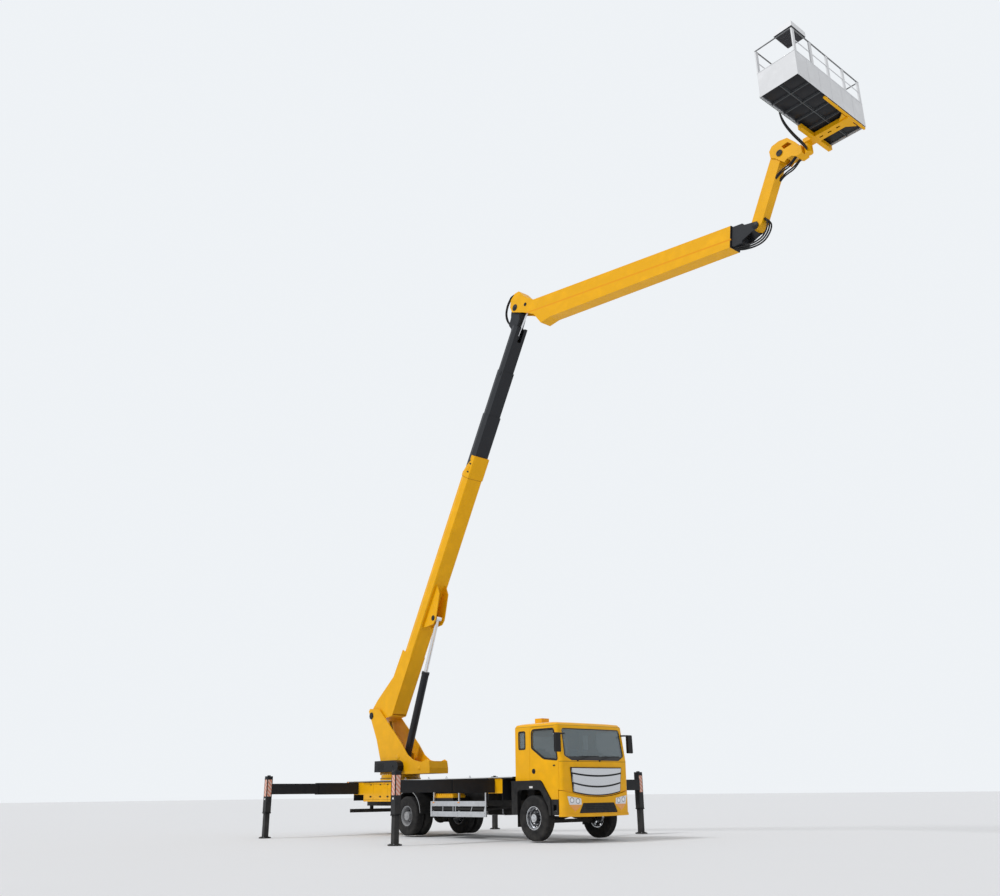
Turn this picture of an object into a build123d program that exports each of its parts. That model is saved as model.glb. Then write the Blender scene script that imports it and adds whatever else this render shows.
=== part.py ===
from build123d import *
import math
import os

# Cherry picker truck: two-axle lorry, four telescopic outriggers, slewing turret, telescopic main boom,
# folding upper arm, cranked jib and a wide work platform. All sizes in millimetres.
# The truck is laid out with X = 0 at the rear axle, +X forward, +Y left and Z = 0 at the jack feet.
# export_node() then moves everything so that the origin is under the middle of the overall length.
os.makedirs("parts", exist_ok=True)

MID_LENGTH_X = 5770.0

# Chassis
WHEELBASE = 5200.0
TYRE_R = 505.0
TYRE_W = 270.0
TWIN_GAP = 45.0
HALF_TRACK_OUT = 1187.0
WHEEL_LIFT = 30.0
AXLE_Z = TYRE_R + WHEEL_LIFT
KING_PIN_Y = 735.0
STEER_GAP = 8.0
RIM_R = 262.0
RAIL_TOP = 1020.0
RAIL_H = 240.0
RAIL_FLANGE = 75.0
RAIL_T = 9.0
RAIL_OUT_Y = 430.0
RAIL_X0 = -3150.0
RAIL_X1 = WHEELBASE + 650.0
CROSS_W = 90.0
SEAT_GAP = 0.3
MOVE_GAP = 12.0

# Deck and sub-frame
DECK_TOP = 1475.0
DECK_T = 8.0
DECK_LIP = 45.0
DECK_HALF = 1150.0
DECK_X0 = -3200.0
DECK_X1 = WHEELBASE - 760.0
SUB_HALF = 430.0
SUB_T = 12.0

# Outriggers
FRONT_JACK_X = WHEELBASE - 1440.0
REAR_JACK_X = -2550.0
BEAM_STAGGER = 140.0
JACK_Y = 4000.0
BEAM_TOP = 1430.0
BEAM_H = 318.0
BEAM_W = 236.0
BEAM_T = 10.0
SKIRT_Z = 930.0
BEAM_STEP = 19.0
STAGE1_END = 2450.0
STAGE_LAP = 380.0
SLEEVE_T = 12.0
SLEEVE_HALF = 1125.0
JACK_TUBE_HALF = 82.0
JACK_TUBE_TOP = 1560.0
JACK_TUBE_BOTTOM = 640.0
JACK_LEG_HALF = 66.0
LEG_TOP = 1070.0
FOOT_R = 165.0
FOOT_T = 30.0

# Turret and main boom
SLEW_X = -2024.0
RING_R = 610.0
RING_H = 80.0
PLATE_T = 30.0
PLATE_IN_Y = 300.0
BOOM_X = -3232.0
BOOM_Z = 3420.0
BOOM_DEG = 60.5
BOOM_N = -665.0
BASE_S0 = 520.0
BASE_S1 = 8850.0
SECTION_T = 8.0
LIFT_FOOT_X = -1716.0
LIFT_FOOT_Z = 2146.0
LIFT_EYE_S = 3800.0
LIFT_EYE_N = -1280.0
LIFT_BARREL_L = 2580.0
LIFT_BARREL_R = 112.0
LIFT_ROD_R = 58.0
LIFT_ROD_L = 2400.0
KNEE_S = 13490.0
KNEE_N = -400.0
KNEE_CYL_S = 11450.0
KNEE_CYL_N = -640.0
KNEE_LUG_S = 13646.0
KNEE_LUG_N = -854.0
KNEE_BARREL_L = 1250.0
KNEE_BARREL_R = 46.0
KNEE_ROD_R = 27.0
KNEE_ROD_L = 1515.0
KNEE_EYE_HALF = 60.0
HEAD_HALF = 125.0

# Upper arm, jib and platform
ARM_DEG = -8.2
ARM_L = 7980.0
ARM_W = 380.0
FLY_TIP_X = 12290.0
FLY_TIP_Z = 13580.0
JIB_DEG = 63.2
LEVEL_X = 13160.0
LEVEL_Z = 15100.0
BASKET_X = 14450.0
BASKET_Y = -720.0
BASKET_LOW = 15150.0
BASKET_LX = 940.0
BASKET_LY = 2680.0
BASKET_H = 1250.0
PANEL_H = 630.0
ROTATOR_X = 13810.0
ROTATOR_Z = 15010.0
ROTATOR_R = 95.0

# Cab
CAB_X0 = WHEELBASE - 700.0
CAB_X1 = WHEELBASE + 960.0
CAB_HALF = 1110.0
CAB_FLOOR = 945.0
CAB_REAR_FLOOR = 1370.0
CAB_TOP = 2695.0
CAB_T = 40.0
CAB_BOW = 40.0
CAB_CORNER_R = 80.0
CAB_REAR_R = 30.0
SCREEN_TOP = 2540.0
TUNNEL_HALF = 470.0
TUNNEL_TOP = 1250.0
TUNNEL_X1 = CAB_X1 - 120.0
DOOR_X0 = CAB_X0 + 530.0
DOOR_X1 = CAB_X1 - 120.0
DOOR_TOP = 2590.0
DOOR_RAKE = 115.0
DOOR_T = 40.0
DOOR_GAP = 6.0
ARCH_GAP = 8.0
BELT_Z = 1800.0
HINGE_R = 9.0
GLASS_T = 6.0
GLASS_INSET = 12.0
BUMPER_X = CAB_X1 + 75.0
BUMPER_Z0 = 560.0
BUMPER_SIDE_TOP = 1155.0
BUMPER_MID_TOP = 985.0
BUMPER_T = 45.0
BUMPER_WRAP = 210.0
FLARE_Y0 = 1035.0
FLARE_Y1 = 1150.0
FLAP_T = 12.0
FLAP_Z = 330.0
FLAP_Y0 = 1032.0


def block(x0, x1, y0, y1, z0, z1):
    """Box between two corners."""
    return Pos((x0 + x1) / 2, (y0 + y1) / 2, (z0 + z1) / 2) * Box(x1 - x0, y1 - y0, z1 - z0)


def side_plate(points, y0, y1):
    """Polygon in X and Z, as thick as from y0 to y1."""
    return extrude(Plane.XZ.offset(-y1) * Polygon(*points, align=None), amount=y1 - y0, dir=(0, -1, 0))


def rod_y(x, z, r, y0, y1):
    """Round bar across the truck."""
    return Pos(x, (y0 + y1) / 2, z) * Rot(90, 0, 0) * Cylinder(r, y1 - y0)


def rod_x(x0, x1, y, z, r):
    """Round bar along the truck."""
    return Pos((x0 + x1) / 2, y, z) * Rot(0, 90, 0) * Cylinder(r, x1 - x0)


def rod_z(x, y, r, z0, z1):
    """Upright round bar."""
    return Pos(x, y, (z0 + z1) / 2) * Cylinder(r, z1 - z0)


def soft_face(corners):
    """Face inside corners given as (a, b, radius), with an arc at each corner that has a radius."""
    points = [Vector(a, b) for a, b, radius in corners]
    joins = []
    for i, (a, b, radius) in enumerate(corners):
        back = (points[i - 1] - points[i]).normalized()
        ahead = (points[(i + 1) % len(points)] - points[i]).normalized()
        half_angle = math.radians(back.get_angle(ahead)) / 2
        reach = radius / math.tan(half_angle)
        middle = points[i] + (back + ahead).normalized() * (radius / math.sin(half_angle) - radius)
        joins.append((points[i] + back * reach, middle, points[i] + ahead * reach))
    edges = []
    for i, (start, middle, end) in enumerate(joins):
        edges.append(Line(joins[i - 1][2], start))
        if corners[i][2] > 0:
            edges.append(ThreePointArc(start, middle, end))
    return make_face(edges)


def soft_plate(corners, y0, y1, grow=0.0):
    """Outline with rounded corners in X and Z, as thick as from y0 to y1."""
    face = soft_face(corners)
    if grow:
        face = offset(face, grow, kind=Kind.INTERSECTION)
    return extrude(Plane.XZ.offset(-y1) * face, amount=y1 - y0, dir=(0, -1, 0))


def front_cut(face, x0, x1, grow=0.0):
    """Outline in Y and Z, from x0 to x1."""
    if grow:
        face = offset(face, grow, kind=Kind.INTERSECTION)
    return extrude(Plane.YZ.offset(x0) * face, amount=x1 - x0)


def drooped_face(half_top, top_side, top_mid, half_low, low_side, low_mid):
    """Front-view outline whose upper and lower edges sag from the sides to the middle."""
    return make_face([
        ThreePointArc((-half_top, top_side), (0, top_mid), (half_top, top_side)),
        Line((half_top, top_side), (half_low, low_side)),
        ThreePointArc((half_low, low_side), (0, low_mid), (-half_low, low_side)),
        Line((-half_low, low_side), (-half_top, top_side)),
    ])


def square_post(x, y, half, z0, z1):
    """Upright square bar."""
    return block(x - half, x + half, y - half, y + half, z0, z1)


def mirror_y(solid):
    """The same thing on the other side of the truck."""
    return mirror(solid, Plane.XZ)


def export_node(name, *solids):
    """Write one node, moved to the part's own origin."""
    moved = [Pos(-MID_LENGTH_X, 0, 0) * s for s in solids]
    parts = [one for m in moved for one in m.solids()]
    shape = parts[0] if len(parts) == 1 else Compound(children=parts)
    export_step(shape, f"parts/{name}.step")


def tilted(x, z, deg):
    """Local frame in the boom's plane: X along the member, Y left, Z to its upper side."""
    a = math.radians(deg)
    return Plane(origin=(x, 0, z), x_dir=(math.cos(a), 0, math.sin(a)),
                 z_dir=(-math.sin(a), 0, math.cos(a))).location


def section_face(width, depth, centre_n):
    """Folded boom section: flat belly, upright sides, two folds up to a narrower top."""
    w = width / 2
    low = centre_n - depth / 2
    half = [(w - 0.05 * width, low), (w, low + 0.05 * depth), (w, low + 0.50 * depth),
            (w - 0.07 * width, low + 0.77 * depth), (w - 0.24 * width, low + depth)]
    points = half + [(-y, z) for y, z in reversed(half)]
    return Polygon(*points, align=None)


def section_tube(width, depth, centre_n, s0, s1, wall=SECTION_T):
    """Hollow boom section from s0 to s1."""
    outer = section_face(width, depth, centre_n)
    inner = section_face(width - 2 * wall, depth - 2 * wall, centre_n)
    return extrude(Plane.YZ.offset(s0) * (outer - inner), amount=s1 - s0)


# Chassis frame and running gear

SPRING_ENDS = [
    # axle X, spring Y, half length, height of the spring's end
    (WHEELBASE, 380.0, 620.0, AXLE_Z + 4 + 69),
    (0.0, 385.0, 640.0, AXLE_Z + 120 + 69),
]


def chassis_frame():
    rail = block(RAIL_X0, RAIL_X1, RAIL_OUT_Y - RAIL_FLANGE, RAIL_OUT_Y, RAIL_TOP - RAIL_H, RAIL_TOP)
    rail -= block(RAIL_X0 - 1, RAIL_X1 + 1, RAIL_OUT_Y - RAIL_FLANGE - 1, RAIL_OUT_Y - RAIL_T,
                  RAIL_TOP - RAIL_H + RAIL_T, RAIL_TOP - RAIL_T)
    frame = rail + mirror_y(rail)
    for x in (RAIL_X0, -1500.0, -700.0, 700.0, 2000.0, 3300.0, RAIL_X1 - CROSS_W):
        frame += block(x, x + CROSS_W, -RAIL_OUT_Y + RAIL_T, RAIL_OUT_Y - RAIL_T,
                       RAIL_TOP - RAIL_H + RAIL_T, RAIL_TOP - RAIL_T)
    hanger = block(-3000.0, -2950.0, 330.0, RAIL_OUT_Y, 680.0, RAIL_TOP - RAIL_H + 1)
    frame += hanger + mirror_y(hanger)
    frame += block(-3010.0, -2930.0, 30 - DECK_HALF, DECK_HALF - 30, 600.0, 700.0)
    for x_axle, y, reach, end_top in SPRING_ENDS:
        for x in (x_axle - reach + 30, x_axle + reach - 30):
            hanger = block(x - 30, x + 30, y - 32, y + 32, end_top + SEAT_GAP, RAIL_TOP - RAIL_H + 1)
            frame += hanger + mirror_y(hanger)
    for x, floor_z in ((CAB_X0 + 160, CAB_REAR_FLOOR), (CAB_X1 - 460, TUNNEL_TOP)):
        post = block(x, x + 80, RAIL_OUT_Y - 50, RAIL_OUT_Y, RAIL_TOP - 1, floor_z - SEAT_GAP)
        frame += post + mirror_y(post)
    return frame


def leaf_pack(x, y, half_length, leaves, spring_z):
    """Leaf spring: leaves of falling length, bent down at the ends."""
    pack = None
    for i in range(leaves):
        reach = half_length * (1 - 0.12 * i)
        z = spring_z - 14 * i
        leaf = side_plate([(x - reach, z + 55), (x - reach / 2, z + 12), (x + reach / 2, z + 12), (x + reach, z + 55),
                           (x + reach, z + 69), (x + reach / 2, z + 26), (x - reach / 2, z + 26),
                           (x - reach, z + 69)], y - 35, y + 35)
        pack = leaf if pack is None else pack + leaf
    return pack


def front_axle():
    beam = block(WHEELBASE - 45, WHEELBASE + 45, -710.0, 710.0, AXLE_Z - 120, AXLE_Z - 40)
    for side in (-1, 1):
        beam += rod_z(WHEELBASE, side * KING_PIN_Y, 44, AXLE_Z - 120, AXLE_Z + 40)
        beam -= rod_z(WHEELBASE, side * KING_PIN_Y, 24, AXLE_Z - 130, AXLE_Z + 50)
        beam += leaf_pack(WHEELBASE, side * 380, 620, 5, AXLE_Z + 4)
        beam += block(WHEELBASE - 45, WHEELBASE + 45, side * 380 - 35, side * 380 + 35, AXLE_Z - 60, AXLE_Z - 25)
    return beam


def rear_axle():
    beam = rod_y(0, AXLE_Z, 68, -560.0, 560.0)
    beam += Pos(0, 0, AXLE_Z) * Sphere(205)
    for side in (-1, 1):
        beam += rod_y(0, AXLE_Z, 48, side * 850 - 290, side * 850 + 290) if side > 0 else rod_y(0, AXLE_Z, 48, -1140, -560)
        beam += leaf_pack(0, side * 385, 640, 6, AXLE_Z + 120)
        beam += block(-50, 50, side * 385 - 35, side * 385 + 35, AXLE_Z, AXLE_Z + 70)
    a = math.degrees(math.atan2(250.0, 3000.0))
    beam += Pos(180, 0, AXLE_Z + 10) * Rot(0, 90 - a, 0) * Pos(0, 0, 1450) * Cylinder(48, 2900)
    return beam


def knuckle(side):
    """Steering knuckle: king pin in the beam's eye, stub axle and steering arm."""
    y = side * KING_PIN_Y
    pin = rod_z(WHEELBASE, y, 23.95, AXLE_Z - 150, AXLE_Z + 70)
    body = block(WHEELBASE - 50, WHEELBASE + 50, min(y - 45, y + 45), max(y - 45, y + 45), AXLE_Z + 46, AXLE_Z + 76)
    body += block(WHEELBASE - 50, WHEELBASE + 50, min(y - 45, y + 45), max(y - 45, y + 45),
                  AXLE_Z - 156, AXLE_Z - 126)
    y_out = side * 800
    body += block(WHEELBASE - 50, WHEELBASE + 50, min(y_out, side * 785), max(y_out, side * 785),
                  AXLE_Z - 156, AXLE_Z + 76)
    body += block(WHEELBASE - 50, WHEELBASE + 50, min(y + side * 45, side * 785.5), max(y + side * 45, side * 785.5),
                  AXLE_Z - 156, AXLE_Z - 126)
    body += block(WHEELBASE - 50, WHEELBASE + 50, min(y + side * 45, side * 785.5), max(y + side * 45, side * 785.5),
                  AXLE_Z + 46, AXLE_Z + 76)
    stub_in, stub_out = side * 800, side * 1120
    body += rod_y(WHEELBASE, AXLE_Z, 44.95, min(stub_in, stub_out), max(stub_in, stub_out))
    body += block(WHEELBASE - 230, WHEELBASE - 50, min(side * 740, side * 780), max(side * 740, side * 780),
                  AXLE_Z - 152, AXLE_Z - 130)
    return pin + body


def tyre(x, y_mid):
    """Tyre with crown, shoulders and beads."""
    w = TYRE_W / 2
    outline = [(RIM_R, -0.42 * TYRE_W), (RIM_R + 30, -0.47 * TYRE_W), (0.78 * TYRE_R, -w), (0.94 * TYRE_R, -0.46 * TYRE_W),
               (0.985 * TYRE_R, -0.38 * TYRE_W), (TYRE_R, 0)]
    points = outline + [(r, -y) for r, y in reversed(outline[:-1])]
    hollow = [(RIM_R - 1, -0.28 * TYRE_W), (RIM_R + 24, -0.34 * TYRE_W), (0.78 * TYRE_R, 22 - w),
              (0.90 * TYRE_R, 0.06 * TYRE_W + 22 - w), (0.93 * TYRE_R, -0.30 * TYRE_W), (0.94 * TYRE_R, 0)]
    inside = hollow + [(r, -y) for r, y in reversed(hollow[:-1])]
    face = Polygon(*points, align=None) - Polygon(*inside, align=None)
    ring = revolve(Plane.XY * face, axis=Axis.Y, revolution_arc=360)
    return Pos(x, y_mid, AXLE_Z) * ring


def rim(x, y_mid, side, dish, bore):
    """Steel disc wheel: rim barrel, flanges, hand holes and a hub; dish is how far the disc sits out."""
    w = 0.40 * TYRE_W
    barrel = [(RIM_R - SEAT_GAP, -w), (RIM_R - SEAT_GAP, w), (RIM_R - 16, w), (RIM_R - 34, w - 45), (RIM_R - 34, -w + 45),
              (RIM_R - 16, -w)]
    shape = revolve(Plane.XY * Polygon(*barrel, align=None), axis=Axis.Y, revolution_arc=360)
    disc = [(bore, dish - 8), (120, dish - 8), (170, dish + 40), (RIM_R - 30, dish + 20), (RIM_R - 30, dish + 32),
            (160, dish + 54), (110, dish + 8), (bore, dish + 8)]
    disc_solid = revolve(Plane.XY * Polygon(*disc, align=None), axis=Axis.Y, revolution_arc=360)
    for i in range(8):
        disc_solid -= Rot(0, 45 * i, 0) * Pos(195, dish + 35, 0) * Rot(90, 0, 0) * Cylinder(24, 80)
    shape += disc_solid
    if side > 0:
        return Pos(x, y_mid, AXLE_Z) * shape
    return Pos(x, y_mid, AXLE_Z) * Rot(0, 0, 180) * shape


def front_wheel(side):
    y = side * (HALF_TRACK_OUT - TYRE_W / 2)
    wheel_rim = rim(WHEELBASE, y, side, -20, 60)
    hub_in, hub_out = side * 830, side * (HALF_TRACK_OUT - 30)
    hub = rod_y(WHEELBASE, AXLE_Z, 108, min(hub_in, hub_out), max(hub_in, hub_out))
    bore_in, bore_out = side * 829, side * 1124
    hub -= rod_y(WHEELBASE, AXLE_Z, 45, min(bore_in, bore_out), max(bore_in, bore_out))
    return tyre(WHEELBASE, y), wheel_rim + hub


def rear_wheel(side):
    y_out = side * (HALF_TRACK_OUT - TYRE_W / 2)
    y_in = y_out - side * (TYRE_W + TWIN_GAP)
    rims = rim(0, y_out, side, -100, 60) + rim(0, y_in, -side, -100, 60)
    hub_in, hub_out = side * 590, side * (HALF_TRACK_OUT - 20)
    hub = rod_y(0, AXLE_Z, 112, min(hub_in, hub_out), max(hub_in, hub_out))
    bore_in, bore_out = side * 589, side * 1145
    hub -= rod_y(0, AXLE_Z, 48.05, min(bore_in, bore_out), max(bore_in, bore_out))
    return [tyre(0, y_out), tyre(0, y_in)], rims + hub


# Deck, sleeves and things along the frame

def deck():
    """Box-section sub-frame on the rails, under a thin deck plate with turned-down edges."""
    low = RAIL_TOP + SEAT_GAP
    plate_z = DECK_TOP - DECK_T
    solid = block(DECK_X0, DECK_X1, -DECK_HALF, DECK_HALF, DECK_TOP - DECK_LIP, DECK_TOP)
    solid -= block(DECK_X0 + DECK_T, DECK_X1 - DECK_T, -DECK_HALF + DECK_T, DECK_HALF - DECK_T,
                   DECK_TOP - DECK_LIP - 1, plate_z)
    for side in (-1, 1):
        y0, y1 = sorted((side * (SUB_HALF - SUB_T), side * SUB_HALF))
        solid += block(DECK_X0, DECK_X1, y0, y1, low, plate_z + 1)
    for x in (DECK_X0, -1400.0, -600.0, 1200.0, 2600.0, DECK_X1 - SUB_T):
        solid += block(x, x + SUB_T, -SUB_HALF, SUB_HALF, low, plate_z + 1)
    for x in (-1950.0, -400.0, 800.0, 1600.0, 2400.0, 3200.0):
        solid += block(x, x + 40, -DECK_HALF + 1, DECK_HALF - 1, plate_z - 40, plate_z + 1)
    solid += rod_z(DECK_X1 - 210, 380, 75, DECK_TOP - 1, DECK_TOP + 260) + rod_z(DECK_X1 - 210, 380, 48, DECK_TOP + 259, DECK_TOP + 300)
    solid += rod_y(DECK_X1 - 190, DECK_TOP + 118, 120, -420, -60)
    for y in (-380.0, -140.0):
        solid += block(DECK_X1 - 230, DECK_X1 - 150, y, y + 40, DECK_TOP - 1, DECK_TOP + 20)
    for x_mid in (FRONT_JACK_X, REAR_JACK_X):
        x0, x1 = sleeve_span(x_mid)
        solid -= block(x0 - SEAT_GAP, x1 + SEAT_GAP, -DECK_HALF - 1, DECK_HALF + 1, low - 1, SLEEVE_TOP + SEAT_GAP)
    return solid


def sleeve_span(x_mid):
    """Front and rear faces of the cross box."""
    half = BEAM_STAGGER + BEAM_W / 2 + SLEEVE_T
    return x_mid - half, x_mid + half


SLEEVE_TOP = BEAM_TOP + MOVE_GAP / 2 + SLEEVE_T


def sleeve(x_mid):
    """Cross box that houses a pair of beams side by side."""
    x0, x1 = sleeve_span(x_mid)
    z0 = BEAM_TOP - BEAM_H - MOVE_GAP / 2
    body = block(x0, x1, -SLEEVE_HALF, SLEEVE_HALF, z0 - SLEEVE_T, SLEEVE_TOP)
    for side in (-1, 1):
        x = x_mid + side * BEAM_STAGGER
        y0, y1 = sorted((side * (SLEEVE_HALF + 1), -side * (SLEEVE_HALF - 14)))
        body -= block(x - BEAM_W / 2 - MOVE_GAP / 2, x + BEAM_W / 2 + MOVE_GAP / 2, y0, y1, z0, BEAM_TOP + MOVE_GAP / 2)
    for side in (-1, 1):
        x = x_mid + side * BEAM_STAGGER
        y0, y1 = sorted((side * (SLEEVE_HALF - 130), side * (SLEEVE_HALF - 10)))
        body += block(x - 80, x + 80, y0, y1, z0 - 1, z0 + MOVE_GAP / 2 - SEAT_GAP)
    skirt_z = RAIL_TOP + SEAT_GAP
    for side in (-1, 1):
        y0, y1 = sorted((side * (RAIL_OUT_Y + 20), side * SLEEVE_HALF))
        for x in (x0, x1 - SLEEVE_T):
            body += block(x, x + SLEEVE_T, y0, y1, SKIRT_Z, z0 - SLEEVE_T + 1)
    for x in (x0, x1 - SLEEVE_T):
        body += block(x, x + SLEEVE_T, -RAIL_OUT_Y - 21, RAIL_OUT_Y + 21, skirt_z, z0 - SLEEVE_T + 1)
    return body


def outrigger(x_mid, side):
    """Beam stages and jack leg of one corner, as three solids."""
    x = x_mid + side * BEAM_STAGGER
    z1, z0 = BEAM_TOP, BEAM_TOP - BEAM_H
    in_y = STAGE1_END - 1900.0
    ya, yb = sorted((side * in_y, side * STAGE1_END))
    stage1 = block(x - BEAM_W / 2, x + BEAM_W / 2, ya, yb, z0, z1)
    stage1 -= block(x - BEAM_W / 2 + BEAM_T, x + BEAM_W / 2 - BEAM_T, ya - 1, yb + 1, z0 + BEAM_T, z1 - BEAM_T)
    ya, yb = sorted((side * (STAGE1_END - 120), side * (STAGE1_END - 5)))
    w2 = BEAM_W - 2 * BEAM_STEP
    stage1 += block(x - 70, x + 70, ya, yb, z0 + BEAM_T - 1, z0 + BEAM_STEP - SEAT_GAP)
    ya, yb = sorted((side * (STAGE1_END - STAGE_LAP), side * (JACK_Y - JACK_TUBE_HALF + 20)))
    stage2 = block(x - w2 / 2, x + w2 / 2, ya, yb, z0 + BEAM_STEP, z1 - BEAM_STEP)
    y0, y1 = sorted((side * (STAGE1_END - STAGE_LAP - 1), side * (JACK_Y - JACK_TUBE_HALF - 40)))
    stage2 -= block(x - w2 / 2 + BEAM_T, x + w2 / 2 - BEAM_T, y0, y1, z0 + BEAM_STEP + BEAM_T, z1 - BEAM_STEP - BEAM_T)
    y = side * JACK_Y
    stage2 += square_post(x, y, JACK_TUBE_HALF, JACK_TUBE_BOTTOM, JACK_TUBE_TOP)
    stage2 -= square_post(x, y, JACK_LEG_HALF + SEAT_GAP, JACK_TUBE_BOTTOM - 1, JACK_TUBE_TOP - 25)
    leg = square_post(x, y, JACK_LEG_HALF, FOOT_T - 1, LEG_TOP)
    leg -= square_post(x, y, JACK_LEG_HALF - 10, FOOT_T + 60, LEG_TOP + 1)
    leg += square_post(x, y, JACK_LEG_HALF + 22, FOOT_T - 1, FOOT_T + 14)
    leg += rod_z(x, y, FOOT_R, 0, FOOT_T)
    return stage1, stage2, leg


def engine_block():
    """Plain block of the engine, on four mounts inside the rails."""
    body = block(WHEELBASE - 500, WHEELBASE + 350, -300.0, 300.0, 740.0, 1150.0)
    for x in (WHEELBASE - 350, WHEELBASE + 150):
        web = RAIL_OUT_Y - RAIL_T - SEAT_GAP
        body += block(x, x + 60, -web, web, 860.0, 920.0)
    return body


def fuel_tank():
    """Rounded tank on two brackets from the left rail."""
    tank = extrude(Plane.YZ.offset(1150.0) * Pos(800, 760) * RectangleRounded(520, 440, 80), amount=1200)
    tank -= extrude(Plane.YZ.offset(1156.0) * Pos(800, 760) * RectangleRounded(508, 428, 74), amount=1188)
    for x in (1300.0, 2150.0):
        tank += block(x, x + 60, RAIL_OUT_Y + SEAT_GAP, 541, 800, 900)
    return tank


def battery_box():
    """Battery and tool box on the right rail."""
    box = block(1150.0, 1950.0, -1060.0, -520.0, 560.0, 990.0) - block(1156.0, 1944.0, -1054.0, -519.0, 566.0, 984.0)
    for x in (1150.0, 1944.0):
        box += block(x, x + 6, -530.0, -RAIL_OUT_Y - SEAT_GAP, 800, 900)
    return box


def rear_locker(side):
    y0, y1 = sorted((side * 470.0, side * 1125.0))
    x0 = sleeve_span(REAR_JACK_X)[1] + SEAT_GAP
    z1 = DECK_TOP - DECK_T - SEAT_GAP
    x1 = -870.0
    inner0, inner1 = sorted((side * 469.0, side * 1120.0))
    box = block(x0, x1, y0, y1, 905.0, z1) - block(x0 + 5, x1 - 5, inner0, inner1, 910.0, z1 - 45)
    return box - block(-1950.3, -1909.7, -1200, 1200, z1 - 40, z1 + 1)


def side_guard(side):
    """Aluminium side guard: two long bars and uprights."""
    guard = None
    for z in (540.0, 700.0, 850.0):
        y0, y1 = sorted((side * 1120.0, side * 1150.0))
        bar = block(1090.0, 3420.0, y0, y1, z, z + 60)
        guard = bar if guard is None else guard + bar
    for x in (1160.0, 2250.0, 3340.0):
        y0, y1 = sorted((side * 1085.0, side * 1121.0))
        guard += block(x, x + 40, y0, y1, 540.0, DECK_TOP - DECK_T - SEAT_GAP)
    return guard


def mudguard(side):
    """Rear mudguard: half-round shell over the twin wheels."""
    outer = TYRE_R + 95
    face = Circle(outer) - Circle(outer - 12)
    face -= Pos(0, -outer) * Rectangle(4 * outer, 2 * outer)
    y0, y1 = sorted((side * 560.0, side * 1150.0))
    shell = extrude(Plane.XZ.offset(-y1) * Pos(0, AXLE_Z + 60) * face, amount=y1 - y0)
    top = AXLE_Z + 60 + outer
    for y in (side * 640.0, side * 1080.0):
        shell += block(-30, 30, y - 20, y + 20, top - 8, DECK_TOP - DECK_T - SEAT_GAP)
    flap_x = -outer
    shell += block(flap_x, flap_x + FLAP_T, y0, y1, FLAP_Z, AXLE_Z + 62)
    return shell


# Turret, boom and lift cylinder

def slewing_ring():
    ring = rod_z(SLEW_X, 0, RING_R, DECK_TOP + SEAT_GAP, DECK_TOP + RING_H)
    return ring - rod_z(SLEW_X, 0, RING_R - 110, DECK_TOP, DECK_TOP + RING_H + 1)


TURRET_Z = 1690.0
TURRET_PLATE = [(-3395, 3560), (-3340, 3640), (-2830, 3600), (-1560, 2520), (-1250, 2200), (-960, 2040), (-530, 1960),
                (-250, 2035), (-150, 1985), (-105, 1800), (-105, TURRET_Z - 1), (-2650, TURRET_Z - 1), (-2650, 2060),
                (-2900, 2690)]


def turret():
    """Two side plates on a round base, tied by cross plates."""
    z0 = DECK_TOP + RING_H + SEAT_GAP
    body = rod_z(SLEW_X, 0, RING_R - 30, z0, TURRET_Z - 40)
    body -= rod_z(SLEW_X, 0, RING_R - 130, z0 - 1, TURRET_Z - 60)
    body += block(-2650, -105, -PLATE_IN_Y - PLATE_T, PLATE_IN_Y + PLATE_T, TURRET_Z - 41, TURRET_Z)
    for side in (-1, 1):
        y0, y1 = sorted((side * PLATE_IN_Y, side * (PLATE_IN_Y + PLATE_T)))
        body += side_plate(TURRET_PLATE, y0, y1)
    body += side_plate([(-2650, 2060), (-2650, TURRET_Z - 1), (-2620, TURRET_Z - 1), (-2620, 2060)],
                       -PLATE_IN_Y - 1, PLATE_IN_Y + 1)
    body += side_plate([(-105, 1800), (-150, 1985), (-180, 1975), (-135, 1790), (-135, TURRET_Z - 1),
                        (-105, TURRET_Z - 1)], -PLATE_IN_Y - 1, PLATE_IN_Y + 1)
    for side in (-1, 1):
        y0, y1 = sorted((side * 150.0, side * 190.0))
        body += side_plate([(-1900, TURRET_Z - 1), (-1500, TURRET_Z - 1), (-1600, 2260), (-1830, 2260)], y0, y1)
    body += rod_y(LIFT_FOOT_X, LIFT_FOOT_Z, 44.95, -191, 191)
    body += rod_y(BOOM_X, BOOM_Z, 59.95, -PLATE_IN_Y - 1, PLATE_IN_Y + 1)
    return body


def turret_cover(side):
    """Dark rounded housing on the outside of one side plate."""
    outer = PLATE_IN_Y + PLATE_T
    y0, y1 = sorted((side * (outer + SEAT_GAP), side * (outer + 210)))
    return side_plate([(-2650, 1725), (-2650, 2045), (-1600, 2045), (-1450, 1985), (-1400, 1880), (-1440, 1725)], y0, y1)


SECTIONS = [
    # name, width, depth, start along the boom, end along the boom
    ("boom_base", 530.0, 536.0, BASE_S0, BASE_S1),
    ("boom_section_2", 476.0, 480.0, 1750.0, 10150.0),
    ("boom_section_3", 438.0, 442.0, 3250.0, 11550.0),
    ("boom_section_4", 400.0, 404.0, 4750.0, 12950.0),
]


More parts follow.
